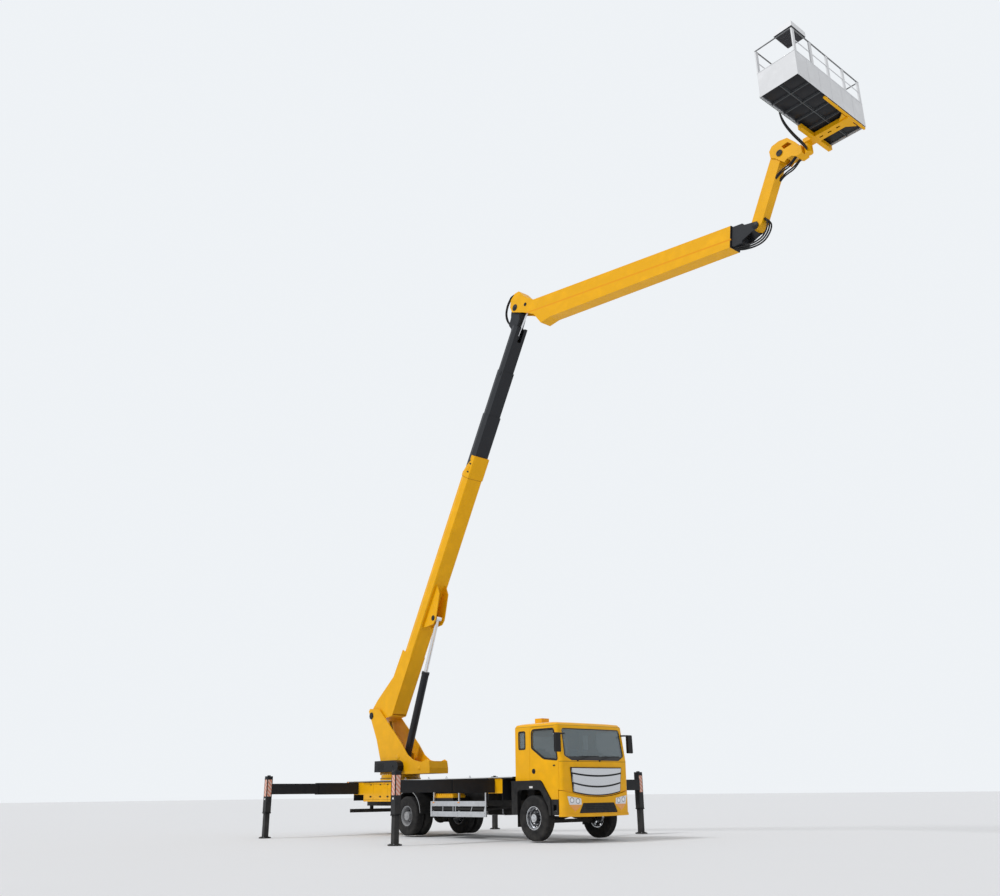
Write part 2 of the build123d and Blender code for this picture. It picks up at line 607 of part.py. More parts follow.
def boom_root():
    """Flared root plates that carry the boom's pivot bore above the box."""
    low = BOOM_N - SECTIONS[0][2] / 2
    top = BOOM_N + SECTIONS[0][2] / 2
    points = [(-160, -60), (-150, 80), (-60, 160), (80, 160), (500, 40), (1500, top + 10), (2400, top - 20),
              (2400, low), (BASE_S0 - 60, low), (60, -420)]
    root = None
    for side in (-1, 1):
        w = SECTIONS[0][1] / 2
        y0, y1 = sorted((side * (w - 24), side * w))
        plate = side_plate(points, y0, y1)
        root = plate if root is None else root + plate
    root += side_plate([(BASE_S0 - 60, low), (60, -420), (-160, -60), (-140, -50), (80, -410), (BASE_S0 - 40, low + 6)],
                       -w + 1, w - 1)
    root += side_plate([(500, 40), (1500, top + 10), (1500, top - 6), (500, 24)], -w + 1, w - 1)
    root += rod_y(0, 0, 120, -w, w)
    return root - rod_y(0, 0, 60, -w - 1, w + 1)


def lift_bracket():
    """Two cheeks under the belly, with a boss on each beside the lift cylinder's eye."""
    low = BOOM_N - SECTIONS[0][2] / 2
    cheek = None
    for side in (-1, 1):
        y0, y1 = sorted((side * 150.0, side * 176.0))
        plate = side_plate([(3350, low + 1), (3420, low - 130), (3640, LIFT_EYE_N - 90), (3800, LIFT_EYE_N - 130),
                            (3930, LIFT_EYE_N - 100), (4560, low - 260), (4760, low + 1)], y0, y1)
        y0, y1 = sorted((side * 95.0, side * 151.0))
        plate += rod_y(LIFT_EYE_S, LIFT_EYE_N, 70, y0, y1)
        cheek = plate if cheek is None else cheek + plate
    return cheek


def boom_base():
    name, width, depth, s0, s1 = SECTIONS[0]
    tube = section_tube(width, depth, BOOM_N, s0, s1)
    collar = section_tube(width + 36, depth + 30, BOOM_N, s1 - 700, s1 - 10, 19)
    cut = side_plate([(s1 + 50, BOOM_N - 250), (s1 + 50, BOOM_N + 400), (s1 - 700, BOOM_N + 400),
                      (s1 - 560, BOOM_N + 120)], -400, 400)
    tube = tube + collar + boom_root() + lift_bracket() - cut
    for pad in wear_pads(0):
        tube += pad
    return tube


def wear_pads(index):
    """Pads in the mouth of a section that guide the next one: two under it and one on each side."""
    name, width, depth, s0, s1 = SECTIONS[index]
    next_width, next_depth = SECTIONS[index + 1][1:3]
    low = BOOM_N - depth / 2
    next_low = BOOM_N - next_depth / 2
    pads = []
    for side in (-1, 1):
        y0, y1 = sorted((side * 0.18 * width, side * 0.36 * width))
        pads.append(block(s1 - 160, s1 - 12, y0, y1, low + SECTION_T - 1, next_low - SEAT_GAP))
        y0, y1 = sorted((side * (next_width / 2 + SEAT_GAP), side * (width / 2 - SECTION_T + 1)))
        pads.append(block(s1 - 160, s1 - 12, y0, y1, low + 0.16 * depth, low + 0.42 * depth))
    return pads


def boom_inner(index):
    """One of the three telescoping sections; the last has a slot in its belly for the knee cylinder."""
    name, width, depth, s0, s1 = SECTIONS[index]
    tube = section_tube(width, depth, BOOM_N, s0, s1)
    if index == 3:
        tube -= block(s1 - 450, s1 + 1, -75, 75, BOOM_N - depth / 2 - 1, BOOM_N - depth / 2 + SECTION_T + 1)
    if index < 3:
        for pad in wear_pads(index):
            tube += pad
    if index < 3:
        lug = block(s1 - 120, s1 - 15, -35, 35, BOOM_N + depth / 2 - 4, BOOM_N + depth / 2 + 90)
        tube += lug
    return tube


def boom_head():
    """Dark head at the end of the last section, with the knee pin's bearing."""
    s1 = SECTIONS[3][4]
    head = None
    for side in (-1, 1):
        y0, y1 = sorted((side * (HEAD_HALF - 22), side * HEAD_HALF))
        plate = side_plate([(s1 - 320, BOOM_N + 150), (s1 - 115, BOOM_N + 190), (s1 - 30, KNEE_N + 90),
                            (KNEE_S - 90, KNEE_N + 140),
                            (KNEE_S + 70, KNEE_N + 120), (KNEE_S + 140, KNEE_N), (KNEE_S + 110, KNEE_N - 110),
                            (s1 + 250, BOOM_N - 40), (s1 - 320, BOOM_N - 60)], y0, y1)
        y0, y1 = sorted((side * (HEAD_HALF - 22), side * 193))
        plate += block(s1 - 320, s1 - 260, y0, y1, BOOM_N - 60, BOOM_N - 5)
        head = plate if head is None else head + plate
    head += rod_y(KNEE_S, KNEE_N, 95, -HEAD_HALF, HEAD_HALF)
    head -= rod_y(KNEE_S, KNEE_N, 50, -HEAD_HALF - 1, HEAD_HALF + 1)
    head += rod_y(KNEE_CYL_S, KNEE_CYL_N, 29.95, -193, 193)
    return head


def cylinder_barrel(foot_r, pin_r, barrel_r, rod_r, length, collar):
    """Hydraulic barrel along local X: foot eye at the origin, gland with a collar at the far end."""
    barrel = rod_x(foot_r - 8, length, 0, 0, barrel_r)
    barrel += rod_x(length - 90, length, 0, 0, barrel_r + collar)
    barrel += rod_y(0, 0, foot_r, -barrel_r * 0.8, barrel_r * 0.8)
    barrel -= rod_x(foot_r + 40, length - 90, 0, 0, barrel_r - 16)
    barrel -= rod_x(length - 91, length + 1, 0, 0, rod_r + 0.05)
    return barrel - rod_y(0, 0, pin_r, -barrel_r, barrel_r)


def cylinder_rod(eye_at, rod_l, rod_r, eye_r, pin_r, half, barrel_r):
    """Rod along local X with its eye at eye_at."""
    rod = rod_x(eye_at - rod_l, eye_at, 0, 0, rod_r)
    rod += rod_x(eye_at - rod_l, eye_at - rod_l + 70, 0, 0, barrel_r - 16.1)
    rod += rod_y(eye_at, 0, eye_r, -half, half)
    return rod - rod_y(eye_at, 0, pin_r, -half - 1, half + 1)


def boom_point(s, n):
    """Truck X and Z of a point given along and across the main boom."""
    a = math.radians(BOOM_DEG)
    return (BOOM_X + s * math.cos(a) - n * math.sin(a), BOOM_Z + s * math.sin(a) + n * math.cos(a))


KNEE_X, KNEE_Z = boom_point(KNEE_S, KNEE_N)
LIFT_EYE = boom_point(LIFT_EYE_S, LIFT_EYE_N)
LIFT_L = math.dist(LIFT_EYE, (LIFT_FOOT_X, LIFT_FOOT_Z))
LIFT_DEG = math.degrees(math.atan2(LIFT_EYE[1] - LIFT_FOOT_Z, LIFT_EYE[0] - LIFT_FOOT_X))
KNEE_FOOT = boom_point(KNEE_CYL_S, KNEE_CYL_N)
KNEE_LUG = boom_point(KNEE_LUG_S, KNEE_LUG_N)
KNEE_L = math.dist(KNEE_FOOT, KNEE_LUG)
KNEE_DEG = math.degrees(math.atan2(KNEE_LUG[1] - KNEE_FOOT[1], KNEE_LUG[0] - KNEE_FOOT[0]))


# Upper arm, fly, jib and platform

ARM_TOP = 45.0
ARM_DEPTH_ROOT = 800.0
ARM_DEPTH_TIP = 560.0
FLY_W = 316.0
FLY_DEPTH = 500.0
ARM_WALL = 8.0


def upper_arm():
    """Deep-webbed root on the knee pin, then a tapering box."""
    w = ARM_W / 2
    web = [(-60, 470), (120, 500), (420, 250), (820, ARM_TOP), (ARM_L, ARM_TOP), (ARM_L, ARM_TOP - ARM_DEPTH_TIP),
           (1640, ARM_TOP - ARM_DEPTH_ROOT + 60), (1250, -790), (900, -430), (420, -260), (150, -190), (-120, -120),
           (-230, 60), (-220, 300)]
    arm = None
    for side in (-1, 1):
        y0, y1 = sorted((side * (w - 14), side * w))
        plate = side_plate(web, y0, y1)
        arm = plate if arm is None else arm + plate
    top = [(820, ARM_TOP), (ARM_L, ARM_TOP), (ARM_L, ARM_TOP - ARM_WALL), (820, ARM_TOP - ARM_WALL)]
    belly = [(900, -430), (1250, -790), (1640, ARM_TOP - ARM_DEPTH_ROOT + 60), (ARM_L, ARM_TOP - ARM_DEPTH_TIP),
             (ARM_L, ARM_TOP - ARM_DEPTH_TIP + ARM_WALL), (1640, ARM_TOP - ARM_DEPTH_ROOT + 60 + ARM_WALL),
             (1254, -780), (904, -420)]
    crown = [(-60, 470), (120, 500), (420, 250), (412, 240), (118, 486), (-54, 457)]
    arm += side_plate(top, -w + 1, w - 1) + side_plate(belly, -w + 1, w - 1) + side_plate(crown, -w + 1, w - 1)
    for side in (-1, 1):
        y0, y1 = sorted((side * (HEAD_HALF + 10), side * (w - 13)))
        arm += rod_y(0, 0, 110, y0, y1)
    arm += rod_y(0, 0, 49.95, -w, w)
    mid = ARM_TOP - ARM_DEPTH_TIP / 2
    low = mid - FLY_DEPTH / 2
    arm += block(ARM_L - 160, ARM_L - 10, -120, 120, ARM_TOP - ARM_DEPTH_TIP + ARM_WALL - 1, low - SEAT_GAP)
    arm += block(ARM_L - 160, ARM_L - 10, -120, 120, mid + FLY_DEPTH / 2 + SEAT_GAP, ARM_TOP - ARM_WALL + 1)
    for side in (-1, 1):
        y0, y1 = sorted((side * (FLY_W / 2 + SEAT_GAP), side * (w - 13)))
        arm += block(ARM_L - 160, ARM_L - 10, y0, y1, mid - 150, mid + 150)
    lug = arm_local(*KNEE_LUG)
    for side in (-1, 1):
        y0, y1 = sorted((side * (KNEE_EYE_HALF + 5), side * (w - 13)))
        arm += rod_y(lug[0], lug[1], 50, y0, y1)
    return arm


def arm_fly():
    """Inner section of the upper arm with the jib's clevis."""
    mid = ARM_TOP - ARM_DEPTH_TIP / 2
    x0 = 4300.0
    x1 = ARM_L + 300
    fly = block(x0, x1, -FLY_W / 2, FLY_W / 2, mid - FLY_DEPTH / 2, mid + FLY_DEPTH / 2)
    fly -= block(x0 - 1, x1 - 20, -FLY_W / 2 + ARM_WALL, FLY_W / 2 - ARM_WALL,
                 mid - FLY_DEPTH / 2 + ARM_WALL, mid + FLY_DEPTH / 2 - ARM_WALL)
    px, pz = JIB_PIN
    for side in (-1, 1):
        y0, y1 = sorted((side * 140.0, side * 158.0))
        fly += side_plate([(x1 - 10, mid + 200), (px - 60, pz + 95), (px + 50, pz + 85), (px + 95, pz),
                           (px + 50, pz - 90), (px - 60, pz - 120), (x1 - 10, mid - 200)], y0, y1)
    return fly + rod_y(px, pz, 34.95, -159, 159)


def arm_local(x, z):
    """Upper arm's own X and Z of a truck point."""
    a = math.radians(ARM_DEG)
    dx, dz = x - KNEE_X, z - KNEE_Z
    return (dx * math.cos(a) + dz * math.sin(a), -dx * math.sin(a) + dz * math.cos(a))


JIB_PIN = arm_local(FLY_TIP_X, FLY_TIP_Z)


def jib_local(x, z):
    a = math.radians(JIB_DEG)
    dx, dz = x - FLY_TIP_X, z - FLY_TIP_Z
    return (dx * math.cos(a) + dz * math.sin(a), -dx * math.sin(a) + dz * math.cos(a))


JIB_DEPTH = 300.0
JIB_W = 250.0
ELBOW = jib_local(LEVEL_X, LEVEL_Z)


def jib():
    """Jib: straight box between the fly's clevis and the levelling pin in its head."""
    d = JIB_DEPTH / 2
    ex, ez = ELBOW
    outline = [(-85, -60), (60, -d), (ex - 150, -d), (ex - 60, ez - 120), (ex + 60, ez - 115), (ex + 120, ez),
               (ex + 140, 20), (ex + 100, 110), (ex - 90, d), (60, d), (-85, 60)]
    body = side_plate(outline, -JIB_W / 2, JIB_W / 2)
    body -= side_plate([(90, -d + 8), (ex - 170, -d + 8), (ex - 170, d - 8), (90, d - 8)], -JIB_W / 2 + 8, JIB_W / 2 - 8)
    body -= rod_y(0, 0, 35, -200, 200)
    return body - rod_y(ex, ez, 35, -200, 200)


BRACKET_CHEEK = [(-250, 10), (-262, 190), (-180, 295), (20, 330), (240, 290), (430, 60), (490, -30), (500, -91),
                 (560, -91), (560, -300), (420, -320), (300, -245), (170, -240), (90, -300), (-40, -170), (-130, -70)]


def level_shape(points, y0, y1):
    """Side plate given from the levelling pin."""
    return side_plate([(LEVEL_X + x, LEVEL_Z + z) for x, z in points], y0, y1)


def platform_bracket():
    """Levelling arm: cheeks round the jib's head, a short box down to the upright turning drive."""
    bracket = None
    for side in (-1, 1):
        y0, y1 = sorted((side * 137.0, side * 155.0))
        plate = level_shape(BRACKET_CHEEK, y0, y1)
        plate -= level_shape([(70, 150), (235, 175), (340, 60), (130, 40)], min(y0, y1) - 1, max(y0, y1) + 1)
        bracket = plate if bracket is None else bracket + plate
    bracket += level_shape([(-60, 316), (20, 330), (240, 290), (430, 60), (490, -30), (500, -91), (490, -91),
                            (480, -33), (422, 54), (234, 279), (18, 318), (-58, 304)], -138, 138)
    bracket += level_shape([(170, -240), (300, -245), (420, -320), (560, -300), (560, -288), (420, -308),
                            (304, -233), (170, -228)], -138, 138)
    bracket += level_shape([(500, -103), (560, -103), (560, -91), (490, -91)], -138, 138)
    bracket += level_shape([(545, -300), (560, -300), (560, -91), (545, -91)], -138, 138)
    bracket += rod_z(ROTATOR_X, 0, ROTATOR_R, ROTATOR_Z - 220, ROTATOR_Z)
    bracket += rod_y(LEVEL_X, LEVEL_Z, 34.95, -156, 156)
    bracket += rod_y(LEVEL_X, LEVEL_Z, 70, -167, -154) + rod_y(LEVEL_X, LEVEL_Z, 70, 154, 167)
    return bracket


def platform_frame():
    """Yellow frame under the platform: slotted beam from the turning drive, rear cross member, front bar."""
    low = ROTATOR_Z + SEAT_GAP
    top = BASKET_LOW - SEAT_GAP
    x0, x1 = BASKET_X - BASKET_LX / 2, BASKET_X + BASKET_LX / 2
    body = rod_z(ROTATOR_X, 0, 100, low, low + 60)
    beam = block(ROTATOR_X - 50, x1 - 20, -120, 120, low + 30, top) - block(
        ROTATOR_X + 60, x1 - 40, -108, 108, low + 40, top - 10)
    for i in range(3):
        beam -= Pos(x0 + 180 + 210 * i, 0, low + 35) * Box(90, 40, 40)
    body += beam
    cross = block(x0 - 20, x0 + 80, -620, 620, low + 30, top)
    for side in (-1, 1):
        y0, y1 = sorted((side * 130.0, side * 610.0))
        cross -= block(x0 - 10, x0 + 70, y0, y1, low + 40, top + 1)
    body += cross
    for side in (-1, 1):
        y0, y1 = sorted((side * 110.0, side * 300.0))
        gusset = Polygon((x1 - 60, side * 300.0), (x1 - 60, side * 110.0), (x1 - 260, side * 110.0), align=None)
        body += extrude(Plane.XY.offset(low + 60) * gusset, amount=20)
    bar_z = top - 45
    body += Pos(x1 - 30, (-1030 + 580) / 2, bar_z) * Rot(90, 0, 0) * Cylinder(30, 1610)
    for y in (-1030.0, 580.0):
        body += Pos(x1 - 30, y, bar_z) * Sphere(30)
    for y in (-960.0, -560.0, 420.0):
        body += block(x1 - 50, x1 - 10, y, y + 40, bar_z, top)
    return body


FLOOR_T = 60.0
SHEET_T = 3.0
POST = 30.0
POST_W = 90.0


def basket():
    """Platform: panelled floor, lower side sheets, flat posts, thin top rail."""
    z0 = BASKET_LOW
    x0, x1 = BASKET_X - BASKET_LX / 2, BASKET_X + BASKET_LX / 2
    y0, y1 = BASKET_Y - BASKET_LY / 2, BASKET_Y + BASKET_LY / 2
    body = block(x0, x1, y0, y1, z0 + FLOOR_T - SHEET_T, z0 + FLOOR_T)
    body += block(x0, x1, y0, y1, z0, z0 + PANEL_H) - block(
        x0 + SHEET_T, x1 - SHEET_T, y0 + SHEET_T, y1 - SHEET_T, z0 - 1, z0 + PANEL_H + 1)
    body += block(BASKET_X - 10, BASKET_X + 10, y0 + 1, y1 - 1, z0 + 15, z0 + FLOOR_T - 1)
    for i in range(1, 6):
        y = y0 + i * BASKET_LY / 6
        body += block(x0 + 1, x1 - 1, y - 10, y + 10, z0 + 15, z0 + FLOOR_T - 1)
    for x in (x0, x1 - POST):
        for i in range(5):
            y = y0 + i * (BASKET_LY - POST_W) / 4
            body += block(x, x + POST, y, y + POST_W, z0 + FLOOR_T - 1, z0 + BASKET_H - 10)
    rail_z = z0 + BASKET_H - 15
    for x in (x0 + 15, x1 - 15):
        body += Pos(x, BASKET_Y, rail_z) * Rot(90, 0, 0) * Cylinder(15, BASKET_LY - 30)
    for z in (z0 + PANEL_H + 30, z0 + PANEL_H + 310):
        for x in (x0 + 15, x1 - 15):
            body += Pos(x, BASKET_Y, z) * Rot(90, 0, 0) * Cylinder(10, BASKET_LY - 40)
    for y in (y0 + 15, y1 - 15):
        body += rod_x(x0 + 15, x1 - 15, y, rail_z, 15)
        for x in (x0 + 15, x1 - 15):
            body += Pos(x, y, rail_z) * Sphere(15)
    return body


def control_box():
    """Control console on the top rail at the front right corner."""
    x = BASKET_X + BASKET_LX / 2
    y = BASKET_Y - BASKET_LY / 2
    z = BASKET_LOW + BASKET_H + SEAT_GAP
    console = [(x - 430, z, 15), (x + 20, z, 15), (x + 20, z + 150, 25), (x - 250, z + 150, 25), (x - 430, z + 60, 15)]
    return soft_plate(console, y - 20, y + 520)


# Cab

HINGE_Z = (1480.0, 1720.0)

CAB_SECTIONS = [
    # height, rear X, front X at the sides, half width, share of the growth that goes upwards
    (CAB_FLOOR - 45, CAB_X0, CAB_X1 - 15, CAB_HALF, -1),
    (BELT_Z, CAB_X0, CAB_X1, CAB_HALF, 0),
    (DOOR_TOP + 10, CAB_X0, CAB_X1 - 130, CAB_HALF, 0),
    (CAB_TOP - 30, CAB_X0 + 30, CAB_X1 - 195, CAB_HALF - 35, 1),
    (CAB_TOP, CAB_X0 + 120, CAB_X1 - 400, CAB_HALF - 150, 1),
]


def cab_section(z, x0, x1, half, grow, rise):
    """Level section of the cab: bowed front, rounded front and rear corners."""
    x0, x1, half = x0 - grow, x1 + grow, half + grow
    front, rear = CAB_CORNER_R, CAB_REAR_R
    f, r = front * (1 - math.sqrt(0.5)), rear * (1 - math.sqrt(0.5))
    edges = [ThreePointArc((x1, front - half), (x1 + CAB_BOW, 0), (x1, half - front)),
             Line((x0, rear - half), (x0, half - rear))]
    for side in (-1, 1):
        edges.append(Line((x0 + rear, side * half), (x1 - front, side * half)))
        edges.append(ThreePointArc((x1 - front, side * half), (x1 - f, side * (half - f)), (x1, side * (half - front))))
        edges.append(ThreePointArc((x0 + rear, side * half), (x0 + r, side * (half - r)), (x0, side * (half - rear))))
    return Plane.XY.offset(z + rise * grow) * make_face(edges)


def cab_body(grow):
    """Outer form of the cab, grown outwards by grow."""
    return loft([cab_section(z, x0, x1, half, grow, rise) for z, x0, x1, half, rise in CAB_SECTIONS], ruled=True)


WHEELHOUSE = [(WHEELBASE - 800, 400.0, 0.0), (WHEELBASE - 800, CAB_REAR_FLOOR, 0.0),
              (WHEELBASE + 240, CAB_REAR_FLOOR, 160.0), (WHEELBASE + 570, CAB_FLOOR, 60.0), (WHEELBASE + 600, 400.0, 0.0)]
FLARE_INSIDE = [(WHEELBASE - 588, 380.0, 0.0), (WHEELBASE - 588, 1165.0, 90.0), (WHEELBASE + 230, 1165.0, 160.0),
                (WHEELBASE + 490, 800.0, 80.0), (WHEELBASE + 540, 380.0, 0.0)]


def nose_recess(grow):
    """Room that the bumper takes out of the cab's lower front."""
    gap = MOVE_GAP + grow
    face = drooped_face(CAB_HALF + 60, BUMPER_SIDE_TOP + gap, BUMPER_MID_TOP + gap, CAB_HALF + 60, 400, 390)
    return front_cut(face, BUMPER_X - BUMPER_WRAP - gap, BUMPER_X + 100)


def floor_room(grow):
    """Everything under the cab's floor: wheelhouses, engine tunnel and the room under the front skirt."""
    room = soft_plate(WHEELHOUSE, -CAB_HALF - 60, CAB_HALF + 60, grow)
    room += block(CAB_X0 - 60, TUNNEL_X1 + grow, -TUNNEL_HALF - grow, TUNNEL_HALF + grow, 500, TUNNEL_TOP + grow)
    room += block(CAB_X1 - 460, CAB_X1 + 200, -CAB_HALF - 60, CAB_HALF + 60, 500, CAB_FLOOR + grow)
    return room + nose_recess(grow)


DOOR_OUTLINE = [(DOOR_X0, CAB_FLOOR + 2, 20.0), (DOOR_X1, CAB_FLOOR + 2, 20.0), (DOOR_X1, BELT_Z + 60, 200.0),
                (DOOR_X1 - DOOR_RAKE, DOOR_TOP, 60.0), (DOOR_X0 + 30, DOOR_TOP, 90.0)]
DOOR_WINDOW = [(DOOR_X0 + 100, 2520.0, 100.0), (DOOR_X0 + 100, 2120.0, 60.0), (DOOR_X0 + 480, BELT_Z + 90, 60.0),
               (DOOR_X0 + 540, BELT_Z + 70, 20.0), (DOOR_X1 - 40, BELT_Z + 30, 30.0), (DOOR_X1 - DOOR_RAKE - 30, 2520.0, 60.0)]
QUARTER_WINDOW = [(CAB_X0 + 165, 2110.0, 25.0), (CAB_X0 + 375, 2110.0, 25.0), (CAB_X0 + 375, 2490.0, 25.0),
                  (CAB_X0 + 165, 2490.0, 25.0)]
REAR_WINDOW = [(-700.0, 2000.0, 60.0), (700.0, 2000.0, 60.0), (700.0, 2430.0, 60.0), (-700.0, 2430.0, 60.0)]
WINDSCREEN = [(-800.0, BELT_Z + 5, 60.0), (800.0, BELT_Z + 5, 60.0), (1010.0, BELT_Z + 110, 60.0), (985.0, SCREEN_TOP, 70.0),
              (-985.0, SCREEN_TOP, 70.0), (-1010.0, BELT_Z + 110, 60.0)]


def cab_shell():
    """Hollow cab with its windows, door openings, wheelhouses and the box on its roof."""
    inside = cab_body(-CAB_T) - floor_room(CAB_T)
    body = cab_body(0) - floor_room(0) - inside
    body += block(CAB_X0 + 200, CAB_X0 + 450, -600, -350, CAB_TOP - 40, CAB_TOP + 145)
    body -= soft_plate(DOOR_OUTLINE, -CAB_HALF - 10, CAB_HALF + 10, DOOR_GAP)
    body -= soft_plate(QUARTER_WINDOW, -CAB_HALF - 10, CAB_HALF + 10)
    body -= front_cut(soft_face(REAR_WINDOW), CAB_X0 - 10, CAB_X0 + CAB_T + 5)
    body -= front_cut(soft_face(WINDSCREEN), CAB_X1 - 300, CAB_X1 + 200)
    for side in (-1, 1):
        for z in HINGE_Z:
            body += rod_z(DOOR_X1 + 3, side * CAB_HALF, HINGE_R, z + SEAT_GAP, z + 60)
            body -= rod_z(DOOR_X1 + 3, side * CAB_HALF, HINGE_R + SEAT_GAP, z - 60 - SEAT_GAP, z)
    return body


def cab_glass():
    """Windscreen that follows the bowed front, two quarter windows and the rear window."""
    pane = cab_body(-GLASS_INSET) - cab_body(-GLASS_INSET - GLASS_T)
    panes = [pane & front_cut(soft_face(WINDSCREEN), CAB_X1 - 300, CAB_X1 + 200, -SEAT_GAP)]
    for side in (-1, 1):
        y0, y1 = sorted((side * (CAB_HALF - 24), side * (CAB_HALF - 18)))
        panes.append(soft_plate(QUARTER_WINDOW, y0, y1, -SEAT_GAP))
    panes.append(front_cut(soft_face(REAR_WINDOW), CAB_X0 + 15, CAB_X0 + 21, -SEAT_GAP))
    return panes


def cab_door(side):
    y0, y1 = sorted((side * (CAB_HALF - DOOR_T), side * CAB_HALF))
    door = soft_plate(DOOR_OUTLINE, y0, y1)
    door -= soft_plate(DOOR_WINDOW, y0 - 1, y1 + 1)
    door -= soft_plate(WHEELHOUSE, y0 - 1, y1 + 1, ARCH_GAP)
    door -= nose_recess(ARCH_GAP)
    for z in HINGE_Z:
        door += rod_z(DOOR_X1 + 3, side * CAB_HALF, HINGE_R, z - 60, z)
        door -= rod_z(DOOR_X1 + 3, side * CAB_HALF, HINGE_R + SEAT_GAP, z, z + 60 + SEAT_GAP)
    return door


def door_glass(side):
    y0, y1 = sorted((side * (CAB_HALF - 24), side * (CAB_HALF - 18)))
    return soft_plate(DOOR_WINDOW, y0, y1, -SEAT_GAP)


def seats():
    both = []
    floor = CAB_REAR_FLOOR + CAB_T + SEAT_GAP
    for y in (-560.0, 560.0):
        seat = block(CAB_X0 + 350, CAB_X0 + 830, y - 240, y + 240, floor, floor + 170)
        back = [(CAB_X0 + 350, floor + 60, 10), (CAB_X0 + 470, floor + 60, 10), (CAB_X0 + 390, 2130, 40),
                (CAB_X0 + 290, 2130, 40)]
        seat += soft_plate(back, y - 240, y + 240)
        both.append(seat)
    return both


def dashboard():
    """Dashboard against the front wall, steering column and wheel."""
    body = block(CAB_X1 - 440, CAB_X1 + 60, -1040, 1040, 1300, BELT_Z - 40) & cab_body(-CAB_T - SEAT_GAP)
    body += Pos(CAB_X1 - 560, 560, 1650) * Rot(0, -60, 0) * Cylinder(25, 420)
    wheel = Pos(CAB_X1 - 650, 560, 1710) * Rot(0, -60, 0) * Torus(210, 16)
    hub = Pos(CAB_X1 - 650, 560, 1710) * Rot(0, -60, 0) * Box(30, 420, 14)
    return body + wheel + hub


GRILLE_BARS = [
    # half width above, its height at the sides and in the middle, half width below, its height at the sides and in the middle
    (832.0, 1632.0, 1628.0, 815.0, 1540.0, 1478.0),
    (811.0, 1500.0, 1438.0, 790.0, 1325.0, 1238.0),
    (785.0, 1285.0, 1198.0, 765.0, 1120.0, 1042.0),
]


def grille():
    """Dark panel on the cab's nose with three broad bars that sag to the middle, and the mesh in the bumper."""
    nose = front_cut(drooped_face(862, 1652, 1650, 790, BUMPER_SIDE_TOP - 55, BUMPER_MID_TOP + 32), CAB_X1 - 60, CAB_X1 + 200)
    frame = (cab_body(20) - cab_body(SEAT_GAP)) & nose
    for row in GRILLE_BARS:
        frame += (cab_body(34) - cab_body(19)) & front_cut(drooped_face(*row), CAB_X1 - 60, CAB_X1 + 200)
    mesh = bumper_slab(-14, -26) & front_cut(soft_face(BUMPER_MOUTH), BUMPER_X - 150, BUMPER_X + 50, -SEAT_GAP)
    for z in (670.0, 710.0, 750.0, 790.0, 830.0):
        mesh += bumper_slab(-6, -15) & front_cut(soft_face(BUMPER_MOUTH), BUMPER_X - 150, BUMPER_X + 50, -4) & block(
            BUMPER_X - 150, BUMPER_X + 50, -700, 700, z, z + 14)
    return frame, mesh


BUMPER_MOUTH = [(-650.0, 640.0, 20.0), (650.0, 640.0, 20.0), (520.0, 862.0, 20.0), (-520.0, 862.0, 20.0)]
LAMP_OUTLINE = [(1000.0, 1018.0, 15.0), (585.0, 962.0, 15.0), (570.0, 820.0, 15.0), (770.0, 680.0, 15.0), (930.0, 800.0, 15.0)]


def bumper_outline(grow, back=0.0):
    """Plan of the bumper: bowed front with round corners; back is how much further it reaches to the rear."""
    half, r = CAB_HALF + grow, 150.0
    x1 = BUMPER_X - CAB_BOW + grow
    x0 = BUMPER_X - BUMPER_WRAP - back
    f = r * (1 - math.sqrt(0.5))
    edges = [ThreePointArc((x1, r - half), (x1 + CAB_BOW, 0), (x1, half - r)), Line((x0, -half), (x0, half))]
    for side in (-1, 1):
        edges.append(Line((x0, side * half), (x1 - r, side * half)))
        edges.append(ThreePointArc((x1 - r, side * half), (x1 - f, side * (half - f)), (x1, side * (half - r))))
    return extrude(Plane.XY.offset(400) * make_face(edges), amount=1000)


def bumper_slab(outside, inside):
    """Wall between two outlines of the bumper, open to the rear."""
    return bumper_outline(outside) - bumper_outline(inside, 1)


def lamp_face(side):
    """Front-view outline of one headlamp."""
    return soft_face([(side * y, z, r) for y, z, r in (LAMP_OUTLINE if side > 0 else reversed(LAMP_OUTLINE))])


def bumper():
    """Wrapped bumper with a sagging upper edge, a mouth for the mesh, lamp pockets and two brackets to the rails."""
    form = front_cut(drooped_face(CAB_HALF + 60, BUMPER_SIDE_TOP, BUMPER_MID_TOP, CAB_HALF + 60, BUMPER_Z0 + 12, BUMPER_Z0),
                     BUMPER_X - BUMPER_WRAP - 1, BUMPER_X + 60)
    body = bumper_slab(0, -BUMPER_T) & form
    lip = front_cut(drooped_face(CAB_HALF + 60, BUMPER_Z0 + 70, BUMPER_Z0 + 58, CAB_HALF + 60, BUMPER_Z0 + 12, BUMPER_Z0),
                    BUMPER_X - BUMPER_WRAP - 1, BUMPER_X + 60)
    body += bumper_slab(12, -10) & lip
    body -= front_cut(soft_face(BUMPER_MOUTH), BUMPER_X - 150, BUMPER_X + 50)
    for side in (-1, 1):
        body -= front_cut(lamp_face(side), BUMPER_X - 150, BUMPER_X + 50) - bumper_outline(-22)
        y0, y1 = sorted((side * 400.0, side * RAIL_OUT_Y))
        body += block(RAIL_X1 + SEAT_GAP, BUMPER_X - 40, y0, y1, 880, 950) & bumper_outline(-BUMPER_T + 2)
        body += block(RAIL_X1 + SEAT_GAP, BUMPER_X - BUMPER_WRAP + 1, y0, y1, 880, 950)
    return body


def lamps():
    """Headlamps in the bumper's pockets and tail lamps on the rear bar."""
    solids = []
    for side in (-1, 1):
        solids.append(bumper_slab(4, -22 + SEAT_GAP) & front_cut(lamp_face(side), BUMPER_X - 150, BUMPER_X + 50, -SEAT_GAP))
        y0, y1 = sorted((side * 760.0, side * 1080.0))
        solids.append(block(-3050, -3010 - SEAT_GAP, y0, y1, 600, 700))
    return solids


